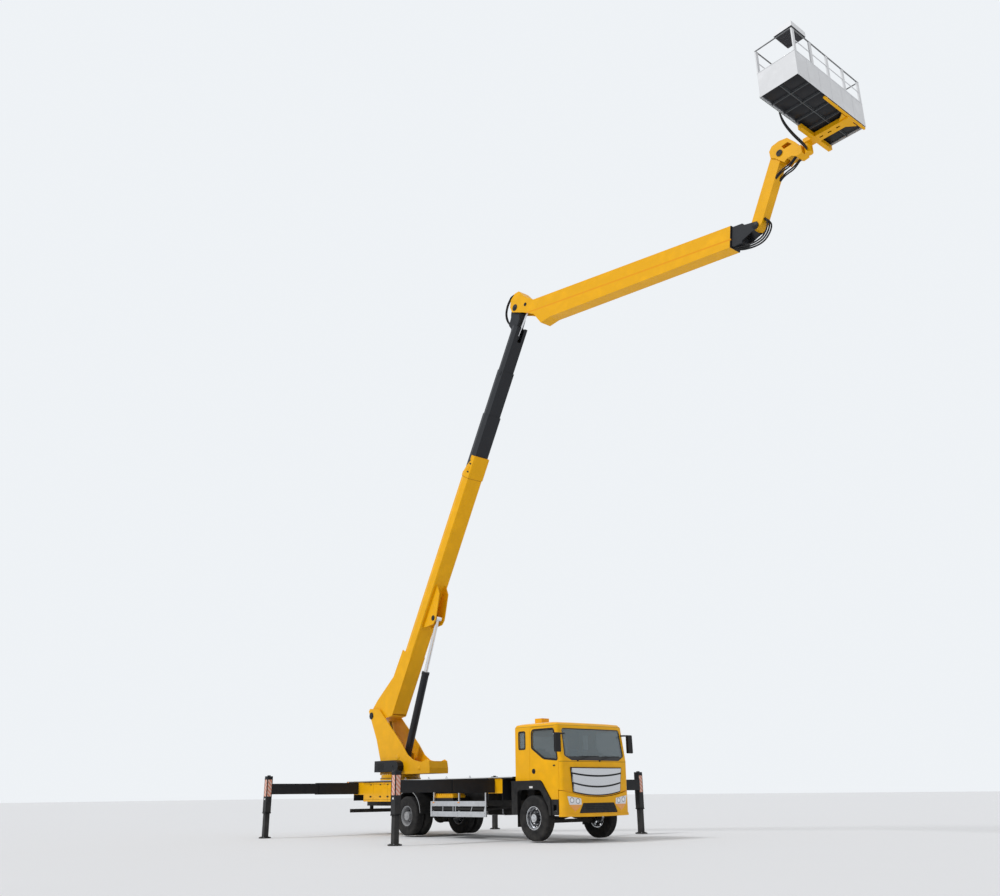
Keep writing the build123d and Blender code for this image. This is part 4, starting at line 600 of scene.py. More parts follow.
class Finishes:
    """All finishes of the truck, built once and given out by name."""

    YELLOW: Colour = (0.955, 0.475, 0.003)
    CHARCOAL: Colour = (0.016, 0.017, 0.020)
    BLACK: Colour = (0.008, 0.008, 0.009)
    LINE: Colour = (0.05, 0.03, 0.004)
    BRIGHT: Colour = (0.60, 0.61, 0.63)
    AMBER: Colour = (0.85, 0.33, 0.03)
    GRILLE: tuple[tuple[float, tuple[float, float], tuple[float, float]], ...] = (
        (0.832, (1.632, 1.628), (1.540, 1.478)),
        (0.811, (1.500, 1.438), (1.325, 1.238)),
        (0.785, (1.285, 1.198), (1.120, 1.042)),
    )

    def __init__(self) -> None:
        """Start with no material built."""
        self._built: dict[str, bpy.types.Material] = {}
        self._known = {f.name: f for f in self._all()}

    def get(self, name: str) -> bpy.types.Material:
        """Material of that name, built at its first use.

        Args:
            name: name of the finish.

        Returns:
            The material.
        """
        if name not in self._built:
            self._built[name] = self._known[name].build()
        return self._built[name]

    def _all(self) -> list[object]:
        """Every finish of the truck.

        Returns:
            The finishes.
        """
        yellow, charcoal, black, line = self.YELLOW, self.CHARCOAL, self.BLACK, self.LINE
        bright, rear_lamps = self.BRIGHT, self._rear_lamps
        return [
            PaintFinish("yellow_plain", yellow, 0.40, 0.05, 0.08),
            PaintFinish("yellow_cab", yellow, 0.32, 0.1, 0.08, 1.1, (
                Overlay(lambda g: g.z.between(1.779, 1.788, 0.002) * g.x.above(0.29, 0.01), line, 0.6),
                Overlay(lambda g: g.z.between(2.606, 2.614, 0.002), line, 0.6),
                # partly the trim's own tone, partly painted shade: the cab's inner walls are painted dark
                # grey
                Overlay(self._cab_inside, (0.11, 0.11, 0.115), 0.8),
            )),
            PaintFinish("yellow_sleeves", yellow, 0.3, 0.12, 0.08, 1.3, (
                # the skirts below 1.092 m are painted charcoal; the front sleeve's front face is painted
                # charcoal as painted shade
                Overlay(lambda g: g.z.below(1.092, 0.002).either(g.x.between(-1.741, -1.0, 0.001)),
                        charcoal, 0.45),
            )),
            PaintFinish("yellow_lockers", yellow, 0.3, 0.12, 0.1, 1.5, (
                Overlay(lambda g: g.x.above(-5.0, 0.01), (0.012, 0.012, 0.013), 0.5),
                Overlay(self._locker_lines, line, 0.6),
            )),
            PaintFinish("yellow_arm", yellow, 0.42, 0.03, 0.1, 1.0, (
                Overlay(lambda g: ARM.along(g).above(7.955, 0.004), black, 0.4),
                # painted shade: a darker orange band along the arm's sides, where a crease is shaded
                Overlay(lambda g: ARM.across(g).between(-0.335, -0.295, 0.012), (0.84, 0.34, 0.004), 0.3),
            )),
            PaintFinish("yellow_boom", yellow, 0.42, 0.03, 0.05, 2.4, (
                Overlay(self._tip_slots, black, 0.5),
                Overlay(lambda g: BOOM.along(g).between(8.13, 8.137, 0.003), line, 0.5),
            )),
            PaintFinish("charcoal_plain", charcoal, 0.42, 0.05, 0.1),
            PaintFinish("charcoal_sections", (0.026, 0.028, 0.033), 0.36, 0.05, 0.0),
            PaintFinish("charcoal_deck", charcoal, 0.5, 0.02, 0.15, 1.7, (
                # partly the deck's edge trim, partly painted highlight: a light grey strip along the deck's
                # outer top edge
                Overlay(lambda g: g.z.between(1.458, 1.4749, 0.001) * g.y.absolute().above(1.149, 0.0008),
                        (0.62, 0.63, 0.64), 0.4),
                Overlay(lambda g: g.z.above(1.4748, 0.0004) * self._tread_plate(g), (0.10, 0.10, 0.105),
                        0.35, 0.6),
            )),
            PaintFinish("ring_layers", charcoal, 0.4, 0.1, 0.1, 1.7, (
                Overlay(lambda g: g.z.between(1.497, 1.533, 0.001), yellow, 0.35),
            )),
            PaintFinish("chassis_plain", (0.010, 0.010, 0.011), 0.55, 0.0, 0.18, 1.2),
            PaintFinish("engine_plain", (0.16, 0.165, 0.17), 0.6, 0.0, 0.5, 1.4),
            PaintFinish("white_basket", (0.80, 0.81, 0.83), 0.32, 0.3, 0.0, 1.0, (
                Overlay(lambda g: g.z.below(15.208, 0.001) * self._under_floor(g), (0.075, 0.08, 0.085),
                        0.6),
                Overlay(lambda g: g.z.above(16.367, 0.004), (0.20, 0.205, 0.21), 0.45),
                Overlay(lambda g: g.z.above(15.2098, 0.0006) * g.z.below(15.2115, 0.0006)
                        * self._under_floor(g) * self._tread_plate(g), (0.30, 0.31, 0.32), 0.4, 0.7),
            )),
            PaintFinish("grey_green", (0.24, 0.27, 0.25), 0.4, 0.1, 0.0),
            PaintFinish("warning_strip", (0.78, 0.56, 0.48), 0.35, 0.2, 0.1, 1.0, (
                Overlay(corner_stripes, (0.62, 0.24, 0.16), 0.35),
            )),
            PaintFinish("white_mark", (0.80, 0.80, 0.79), 0.4, 0.1, 0.15),
            MetalFinish("brushed_aluminium", (0.62, 0.63, 0.65), 0.28, (1.0, 30.0, 30.0)),
            PaintFinish("guard_bars", (0.010, 0.010, 0.011), 0.5, 0.0, 0.1, 1.2, (
                Overlay(lambda g: g.z.below(0.68, 0.002).either(g.z.above(0.78, 0.002)),
                        bright, 0.3, 0.8),
            )),
            MetalFinish("chrome_plated", (0.78, 0.79, 0.81), 0.06, (20.0, 1.0, 20.0), 0.00005, 0.08),
            MetalFinish("bolt_steel", (0.42, 0.43, 0.45), 0.35, (1.0, 1.0, 1.0)),
            MetalFinish("rim_bright", (0.70, 0.71, 0.73), 0.16, (1.0, 20.0, 1.0), 0.0001, 0.35, (
                Overlay(lambda g: self._wheel_radius(g).between(0.150, 0.214, 0.012), (0.06, 0.06, 0.065),
                        0.4, 0.8),
                Overlay(lambda g: self._wheel_radius(g).between(0.090, 0.118, 0.006), (0.08, 0.08, 0.085),
                        0.4, 0.8),
            )),
            PaintFinish("rim_grey", (0.34, 0.35, 0.37), 0.4, 0.1, 0.3, 1.2, (
                Overlay(lambda g: self._wheel_radius(g, 0.0).between(0.125, 0.19, 0.02),
                        (0.05, 0.05, 0.055), 0.5),
            )),
            MouldedFinish("black_covers", (0.011, 0.011, 0.012), 0.55, 380.0, 0.0006, 0.12, (
                Overlay(lambda g: g.y.absolute().above(1.1445, 0.001) * g.x.below(-4.9, 0.01)
                        * g.z.above(0.62, 0.01), (0.42, 0.43, 0.44), 0.4),
                Overlay(lambda g: g.x.between(-0.72, -0.60, 0.004) * g.y.absolute().above(1.1495, 0.0008)
                        * g.z.between(1.20, 1.245, 0.003), (0.7, 0.7, 0.7), 0.4),
            )),
            MouldedFinish("black_mirrors", (0.011, 0.011, 0.012), 0.45, 420.0, 0.0004, 0.0, (
                Overlay(lambda g: g.x.below(0.3507, 0.0004) * g.z.between(2.010, 2.405, 0.004)
                        * g.y.absolute().between(1.172, 1.294, 0.004), (0.78, 0.80, 0.82), 0.03, 1.0),
            )),
            MouldedFinish("black_seal", (0.010, 0.010, 0.011), 0.5, 500.0, 0.0003, 0.1),
            MouldedFinish("black_hose", (0.016, 0.016, 0.017), 0.5, 600.0, 0.0004, 0.1),
            MouldedFinish("tyre_tread", (0.011, 0.011, 0.012), 0.8, 520.0, 0.0006, 0.12),
            MouldedFinish("cab_plastic", (0.07, 0.07, 0.074), 0.65, 450.0, 0.0005, 0.0),
            MouldedFinish("console_white", (0.80, 0.81, 0.83), 0.35, 500.0, 0.0002, 0.0, (
                Overlay(lambda g: g.z.below(16.406, 0.001), (0.05, 0.05, 0.055), 0.5),
            )),
            MouldedFinish("signal_red", (0.55, 0.03, 0.02), 0.35, 300.0, 0.0002, 0.0),
            MouldedFinish("signal_green", (0.03, 0.30, 0.08), 0.35, 300.0, 0.0002, 0.0),
            PaintFinish("grille_bars", (0.016, 0.016, 0.018), 0.5, 0.1, 0.15, 1.4, (
                *(Overlay(partial(curved_band, half=half, top=top, low=low), bright, 0.22, 0.9)
                  for half, top, low in self.GRILLE),
            )),
            LampFinish("headlamp_lens", (0.78, 0.80, 0.83), (
                Overlay(lambda g: g.z.below(0.828, 0.004), self.AMBER),
                Overlay(lambda g: rear_lamps(g) * g.y.absolute().above(0.86, 0.003), (0.60, 0.02, 0.015)),
                Overlay(lambda g: rear_lamps(g) * g.y.absolute().below(0.86, 0.003), self.AMBER),
            ), ((0.685, 0.905, 0.062), (0.865, 0.925, 0.062))),
            LampFinish("amber_lens", (0.90, 0.32, 0.02)),
            LampFinish("red_lens", (0.62, 0.03, 0.02)),
            GlassFinish("side_glass", (0.10, 0.13, 0.14)),
            GlassFinish("screen_glass", (0.16, 0.21, 0.23), self._screen_border),
            ClothFinish("seat_cloth", (0.13, 0.135, 0.145)),
        ]

    @staticmethod
    def _cab_inside(g: Graph) -> Shade:
        """Room inside the cab's walls, behind the windscreen."""
        long = g.x.below(0.2, 0.02) * g.x.above(-1.225, 0.01)
        return g.y.absolute().below(1.05, 0.02) * g.z.between(1.40, 2.58, 0.02) * long

    @staticmethod
    def _rear_lamps(g: Graph) -> Shade:
        """Mask of everything at the rear end, where the lamps are red and amber."""
        return g.x.below(-8.0, 0.1)

    @staticmethod
    def _wheel_radius(g: Graph, axle_x: float = WHEELBASE) -> Shade:
        """Distance from the axle of a pair of wheels."""
        ahead, up = g.x - (axle_x - MID_X), g.z - AXLE_Z
        return (ahead * ahead + up * up).root()

    @staticmethod
    def _tip_slots(g: Graph) -> Shade:
        """Two short dark slots low on the sides of the base section's tip.

        Args:
            g: graph of the material.

        Returns:
            The mask or distance.
        """
        along, up = BOOM.along(g), BOOM.across(g)
        slots = along.between(8.300, 8.345, 0.004).either(along.between(8.555, 8.600, 0.004))
        return slots * up.between(-0.86, -0.76, 0.01) * g.y.absolute().above(0.27, 0.004)

    @staticmethod
    def _tread_plate(g: Graph) -> Shade:
        """Raised lozenges of tread plate, seen from above.

        Args:
            g: graph of the material.

        Returns:
            The mask or distance.
        """
        x, y, _ = g.place
        one = ((x + y) * 95.0).wave()
        two = ((x - y) * 95.0).wave()
        return (one * two).above(0.55, 0.3)

    @staticmethod
    def _under_floor(g: Graph) -> Shade:
        """Room inside the platform's side sheets."""
        inside = (g.x - (14.45 - MID_X)).absolute().below(0.4665, 0.0008)
        return inside * (g.y + 0.72).absolute().below(1.3365, 0.0008)

    @staticmethod
    def _locker_lines(g: Graph) -> Shade:
        """Door gaps on the outside of the lockers.

        Args:
            g: graph of the material.

        Returns:
            The mask or distance.
        """
        x, y, z = g.place
        outside = y.absolute().above(1.058, 0.001)
        first, second, third = ((x + away).absolute().below(0.003, 0.001) for away in (7.545, 8.26, 6.79))
        upright = first.either(second).either(third)
        level = z.between(0.953, 0.959, 0.001).either(z.between(1.366, 1.372, 0.001))
        return outside * upright.either(level) * x.below(-6.0, 0.01)

    @staticmethod
    def _screen_border(g: Graph) -> Shade:
        """Printed border of the windscreen.

        Args:
            g: graph of the material.

        Returns:
            The mask or distance.
        """
        x, y, z = g.place
        front = x.above(0.05, 0.02)
        edge = z.below(1.895, 0.004).either(z.above(2.515, 0.004)).either(y.absolute().above(0.955, 0.004))
        return front * edge


FINISHES = Finishes()


def linked(name: str, data: bpy.types.ID) -> bpy.types.Object:
    """Make an object of some data and put it in the scene.

    Args:
        name: name of the object.
        data: its mesh, curve, lamp or camera.

    Returns:
        The object.
    """
    made = bpy.data.objects.new(name, data)
    bpy.context.scene.collection.objects.link(made)
    return made


class Shape:
    """Mesh of one piece, grown from mesh operators."""

    def __init__(self) -> None:
        """Start with nothing."""
        self.bm = bmesh.new()

    def _edges_of(self, verts: list[bmesh.types.BMVert]) -> list[bmesh.types.BMEdge]:
        """Edges between the given corners."""
        return list({e for v in verts for e in v.link_edges})

    def _round(self, edges: list[bmesh.types.BMEdge], radius: float, segments: int) -> None:
        """Round some edges.

        Args:
            edges: the edges.
            radius: width of the bevel, or 0 for none.
            segments: steps across it.
        """
        if radius > 0:
            bmesh.ops.bevel(self.bm, geom=edges, offset=radius, offset_type="OFFSET", affect="EDGES",
                            segments=segments, profile=0.5, material=-1, clamp_overlap=True)

    def box(self, low: Vector, high: Vector, radius: float = 0.0, place: Matrix | None = None,
            segments: int = 2) -> "Shape":
        """Add a box with rounded edges.

        Args:
            low: lowest corner.
            high: highest corner.
            radius: edge radius.
            place: matrix applied to it.
            segments: steps of the rounding.

        Returns:
            The shape itself.
        """
        low, high = Vector(low), Vector(high)
        size = high - low
        matrix = Matrix.Translation((low + high) / 2) @ Matrix.Diagonal((size.x, size.y, size.z, 1.0))
        made = bmesh.ops.create_cube(self.bm, size=1.0, matrix=(place or Matrix.Identity(4)) @ matrix)
        self._round(self._edges_of(made["verts"]), radius, segments)
        return self

    def rod(self, start: Vector, end: Vector, radius: float, sides: int = 16, far: float | None = None,
            rounded: float = 0.0) -> "Shape":
        """Add a round bar or cone between two points.

        Args:
            start: middle of its first end.
            end: middle of its other end.
            radius: radius at the start.
            sides: number of sides.
            far: radius at the end, or None for the same.
            rounded: radius of the rim of both ends.

        Returns:
            The shape itself.
        """
        start, end = Vector(start), Vector(end)
        way = end - start
        turn = way.to_track_quat("Z", "Y").to_matrix().to_4x4()
        made = bmesh.ops.create_cone(self.bm, cap_ends=True, cap_tris=False, segments=sides, radius1=radius,
                                     radius2=radius if far is None else far, depth=way.length,
                                     matrix=Matrix.Translation((start + end) / 2) @ turn)
        if rounded > 0:
            caps = {f for v in made["verts"] for f in v.link_faces if len(f.verts) == sides}
            self._round([e for f in caps for e in f.edges], rounded, 2)
        return self

    def lathe(self, profile: list[tuple[float, float]], centre: Vector, axis: Vector, sides: int = 32,
              closed: bool = False) -> "Shape":
        """Spin a profile round an axis.

        Args:
            profile: points as radius and height along the axis.
            centre: origin of the profile.
            axis: direction of the axis.
            sides: steps of the spin.
            closed: whether the profile is a closed loop.

        Returns:
            The shape itself.
        """
        axis = Vector(axis).normalized()
        across = axis.orthogonal().normalized()
        verts = [self.bm.verts.new(Vector(centre) + across * r + axis * h) for r, h in profile]
        pairs = list(zip(verts, verts[1:]))
        if closed:
            pairs.append((verts[-1], verts[0]))
        edges = [self.bm.edges.new(pair) for pair in pairs]
        bmesh.ops.spin(self.bm, geom=verts + edges, cent=centre, axis=axis, dvec=(0, 0, 0),
                       angle=2 * math.pi, steps=sides, use_merge=True, use_duplicate=False)
        bmesh.ops.remove_doubles(self.bm, verts=self.bm.verts[:], dist=1e-6)
        bmesh.ops.recalc_face_normals(self.bm, faces=self.bm.faces[:])
        return self

    def _raise(self, faces: list[bmesh.types.BMFace], thickness: float,
               place: Matrix) -> list[bmesh.types.BMVert]:
        """Extrude faces along the Z of a place.

        Args:
            faces: the faces.
            thickness: distance to raise them.
            place: matrix of their frame.

        Returns:
            The raised corners.
        """
        made = bmesh.ops.extrude_face_region(self.bm, geom=faces)
        top = [v for v in made["geom"] if isinstance(v, bmesh.types.BMVert)]
        bmesh.ops.translate(self.bm, vec=place.to_3x3() @ Vector((0, 0, thickness)), verts=top)
        return top

    def plate(self, outline: list[tuple[float, float]], thickness: float, place: Matrix) -> "Shape":
        """Add a flat plate from an outline in the place's X and Y, as thick as given along its Z.

        Args:
            outline: corners, in order.
            thickness: thickness along Z.
            place: matrix of the plate's frame.

        Returns:
            The shape itself.
        """
        verts = [self.bm.verts.new(place @ Vector((a, b, 0.0))) for a, b in outline]
        top = self._raise([self.bm.faces.new(verts)], thickness, place)
        faces = list({f for v in verts + top for f in v.link_faces})
        bmesh.ops.recalc_face_normals(self.bm, faces=faces)
        return self

    def frame_ring(self, inner: list[tuple[float, float]], outer: list[tuple[float, float]],
                   thickness: float, place: Matrix) -> "Shape":
        """Add a flat ring between two outlines with the same number of corners.

        Args:
            inner: inner corners.
            outer: outer corners.
            thickness: thickness along the place's Z.
            place: matrix of the ring's frame.

        Returns:
            The shape itself.
        """
        loops = []
        for outline in (inner, outer):
            verts = [self.bm.verts.new(place @ Vector((a, b, 0.0))) for a, b in outline]
            loops.append([self.bm.edges.new((verts[i - 1], verts[i])) for i in range(len(verts))])
        made = bmesh.ops.bridge_loops(self.bm, edges=loops[0] + loops[1])
        self._raise(made["faces"], thickness, place)
        bmesh.ops.recalc_face_normals(self.bm, faces=self.bm.faces[:])
        return self

    def bolts(self, points: list[Vector], axis: Vector, radius: float, height: float) -> "Shape":
        """Add hexagon heads on washers.

        Args:
            points: feet of the bolts.
            axis: direction they stand in.
            radius: radius of a head.
            height: height of a head.

        Returns:
            The shape itself.
        """
        axis = Vector(axis).normalized()
        for point in points:
            self.rod(Vector(point) - axis * 0.001, Vector(point) + axis * height * 0.25, radius * 1.35, 12)
            self.rod(Vector(point), Vector(point) + axis * height, radius, 6)
        return self

    def piece(self, name: str, finish: str, body: str, slot: Slot, sharp: float = 35.0) -> bpy.types.Object:
        """Turn the shape into a piece that rides on a body.

        Args:
            name: name of the piece.
            finish: name of its finish.
            body: body that it rides on.
            slot: slot of the record; not used.
            sharp: angle in degrees over which an edge stays sharp.

        Returns:
            The new object.
        """
        mesh = bpy.data.meshes.new(name)
        self.bm.to_mesh(mesh)
        self.bm.free()
        mesh.shade_smooth()
        mesh.set_sharp_from_angle(angle=math.radians(sharp))
        mesh.materials.append(FINISHES.get(finish))
        made = linked(name, mesh)
        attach(made, body)
        LOG.info("piece %s: %d faces on %s", name, len(mesh.polygons), body)
        return made


def side_place(y: float, outward: int) -> Matrix:
    """Frame of a plate on the truck's side: X forward, Y up, Z outward."""
    turn = Matrix(((1, 0, 0), (0, 0, outward), (0, 1, 0))).to_4x4()
    return Matrix.Translation((-MID_X, y, 0)) @ turn


def grown(outline: list[tuple[float, float]], width: float) -> list[tuple[float, float]]:
    """Outline moved outwards, corner by corner.

    Args:
        outline: corners in order.
        width: distance to move each edge outwards; negative moves it inwards.

    Returns:
        The moved corners.
    """
    points = [Vector(p) for p in outline]
    area = sum(points[i - 1].cross(points[i]) for i in range(len(points)))
    turn = 1 if area > 0 else -1
    moved = []
    for i, point in enumerate(points):
        back = (point - points[i - 1]).normalized()
        ahead = (points[(i + 1) % len(points)] - point).normalized()
        normal = Vector((back.y + ahead.y, -back.x - ahead.x)) * turn
        normal.normalize()
        scale = max(0.35, normal.dot(Vector((ahead.y, -ahead.x)) * turn))
        moved.append(tuple(point + normal * width / scale))
    return moved


def rounded(corners: list[tuple[float, float, float]], steps: int = 5) -> list[tuple[float, float]]:
    """Corners given with radii, as a fine outline.

    Args:
        corners: points with the radius of the arc at each.
        steps: number of parts of an arc.

    Returns:
        The outline.
    """
    outline = []
    for i, (a, b, radius) in enumerate(corners):
        point = Vector((a, b))
        back = (Vector(corners[i - 1][:2]) - point).normalized()
        ahead = (Vector(corners[(i + 1) % len(corners)][:2]) - point).normalized()
        reach = radius / math.tan(back.angle(ahead) / 2)
        start, end = point + back * reach, point + ahead * reach
        for k in range(steps + 1):
            t = k / steps
            outline.append(tuple(start * (1 - t) ** 2 + point * 2 * t * (1 - t) + end * t ** 2))
    return outline


def dress(finish: str, *nodes: str) -> None:
    """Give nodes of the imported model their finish.

    Args:
        finish: name of the finish.
        nodes: names of the nodes.
    """
    for name in nodes:
        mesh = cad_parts[name].data
        mesh.materials.clear()
        mesh.materials.append(FINISHES.get(finish))


def evaluated_mesh(obj: bpy.types.Object) -> bpy.types.Mesh:
    """Return a new mesh of the object as it stands now."""
    bpy.context.view_layer.update()
    return bpy.data.meshes.new_from_object(obj.evaluated_get(bpy.context.evaluated_depsgraph_get()))


def hose(name: str, route: list[Vector], radius: float,
         ends: tuple[Vector, Vector]) -> None:
    """Add a hydraulic hose along a smooth route.

    Args:
        name: name of the piece.
        route: control points of the route.
        radius: outer radius.
        ends: points between which the hose passes from one body to the other; not used.
    """
    curve = bpy.data.curves.new(name + "_route", "CURVE")
    curve.dimensions = "3D"
    line = curve.splines.new("NURBS")
    line.points.add(len(route) - 1)
    for point, place in zip(line.points, route):
        point.co = (*place, 1.0)
    line.order_u = 3
    line.use_endpoint_u = True
    line.resolution_u = 10
    temporary = linked(name + "_route", curve)
    middle = [vertex.co.copy() for vertex in evaluated_mesh(temporary).vertices]
    curve.bevel_depth = radius
    curve.bevel_resolution = 3
    curve.use_fill_caps = True
    mesh = evaluated_mesh(temporary)
    bpy.data.objects.remove(temporary)
    mesh.name = name
    mesh.shade_smooth()
    mesh.materials.clear()
    mesh.materials.append(FINISHES.get("black_hose"))
    made = linked(name, mesh)
    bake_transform(made)


def ring(centre: Vector, radius: float, count: int, level: bool = False, first: float = 0.0) -> list[Vector]:
    """Points on a circle that stands in the truck's side view, or lies level.

    Args:
        centre: middle of the circle.
        radius: its radius.
        count: number of points.
        level: whether the circle lies level.
        first: angle of the first point.

    Returns:
        The points.
    """
    angles = [first + i * 2 * math.pi / count for i in range(count)]
    spots = [(radius * math.cos(a), radius * math.sin(a)) for a in angles]
    return [centre + Vector((u, v, 0) if level else (u, 0, v)) for u, v in spots]


def torus(radius: float, thickness: float) -> list[tuple[float, float]]:
    """Eight-cornered section of a ring, for a closed lathe."""
    angles = [i * math.pi / 4 for i in range(8)]
    return [(radius + thickness * math.cos(a), thickness * math.sin(a)) for a in angles]


@dataclass
class RunningGear:
    """Tyres with tread, wheel nuts and hub caps."""

    tyre_width: float = 0.270
    outer_face: float = 1.187
    twin_step: float = 0.315
    tread_steps: int = 56
    tread_radius: float = 0.492
    tread_half: float = 0.1015
    groove: float = 0.0045
    block_height: float = 0.0075
    nut_circle: float = 0.1375
    cap_circle: float = 0.094

    def build(self) -> None:
        """Build and dress the running gear."""
        dress("chassis_plain", "chassis_frame", "axles", "knuckle_right", "knuckle_left")
        dress("engine_plain", "engine")
        for side in Side:
            middle = side.value * (self.outer_face - self.tyre_width / 2)
            inner = middle - side.value * self.twin_step
            self._tyres(f"front_tyre_{side.word}", [(WHEELBASE, middle)], f"wheel_front_{side.word}",
                        f"tyre_front_{side.word}")
            self._tyres(f"rear_tyres_{side.word}", [(0.0, middle), (0.0, inner)], f"wheels_rear_{side.word}",
                        f"tyres_rear_{side.word}")
            dress("rim_bright", f"rim_front_{side.word}")
            dress("rim_grey", f"rims_rear_{side.word}")
            self._nuts(side, WHEELBASE, middle - side.value * 0.002, f"wheel_front_{side.word}", "front",
                       1.157)
            self._nuts(side, 0.0, middle - side.value * 0.082, f"wheels_rear_{side.word}", "rear", 1.167)

    def _profile(self) -> list[tuple[float, float]]:
        """Section of a tyre as a closed loop of radius and width.

        Returns:
            The loop.
        """
        outer = [(0.2635, -0.113), (0.272, -0.122), (0.292, -0.128), (0.300, -0.1265), (0.345, -0.1345),
                 (0.352, -0.1330), (0.395, -0.1350), (0.445, -0.1310), (0.470, -0.1245), (0.488, -0.114),
                 (0.4935, -0.106)]
        crown = [(0.4955, -0.102), (0.4970, -0.061), (0.4975, -0.0205)]
        half = outer + crown
        across = half + [(r, -w) for r, w in reversed(half)]
        inside = [(0.2635, 0.080), (0.300, 0.098), (0.440, 0.104), (0.470, 0.085), (0.470, -0.085),
                  (0.440, -0.104), (0.300, -0.098), (0.2635, -0.080)]
        return across + inside

    def _tyres(self, name: str, middles: list[tuple[float, float]], body: str, node: str) -> None:
        """Build tyres with blocks on the tread in place of a node.

        Args:
            name: name of the piece.
            middles: X and Y of each tyre's middle.
            body: body that they ride on.
            node: node that they stand for.
        """
        shape = Shape()
        for x, y in middles:
            centre = truck(x, y, AXLE_Z)
            shape.lathe(self._profile(), centre, Vector((0, 1, 0)), self.tread_steps, closed=True)
            axle = Vector((0, 1, 0))
            crown = []
            for face in shape.bm.faces:
                away = face.calc_center_median() - centre
                radial = away - axle * away.dot(axle)
                near = radial.length > self.tread_radius and abs(away.y) < self.tread_half
                if near and face.normal.dot(radial) > 0:
                    crown.append(face)
            bmesh.ops.inset_individual(shape.bm, faces=crown, thickness=self.groove, depth=self.block_height,
                                       use_even_offset=True)
        made = shape.piece(name, "tyre_tread", body, Slot.RUBBER, 30.0)
        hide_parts(node)

    def _nuts(self, side: Side, x: float, y: float, body: str, end: str, hub_y: float) -> None:
        """Add wheel nuts and a hub cap.

        Args:
            side: side of the truck.
            x: axle position.
            y: face that the nuts stand on.
            body: wheel body.
            end: word for the axle.
            hub_y: outer face of the hub, from the middle.
        """
        circle = ring(truck(x, y, AXLE_Z), self.nut_circle, 10)
        nuts = Shape().bolts(circle, side.out, 0.015, 0.034)
        nuts.piece(f"wheel_nuts_{end}_{side.word}", "bolt_steel", body, Slot.RIM)
        hub = truck(x, side.value * (hub_y - SINK), AXLE_Z)
        cap = Shape().lathe([(0.0, 0.016), (0.035, 0.015), (0.055, 0.009), (0.060, 0.0), (0.085, -0.001),
                             (0.0, -0.001)],
                            hub, side.out, 32)
        cap.bolts(ring(hub, self.cap_circle, 6), side.out, 0.007, 0.009)
        cap.piece(f"hub_cap_{end}_{side.word}", "rim_bright" if end == "front" else "rim_grey", body,
                  Slot.RIM)


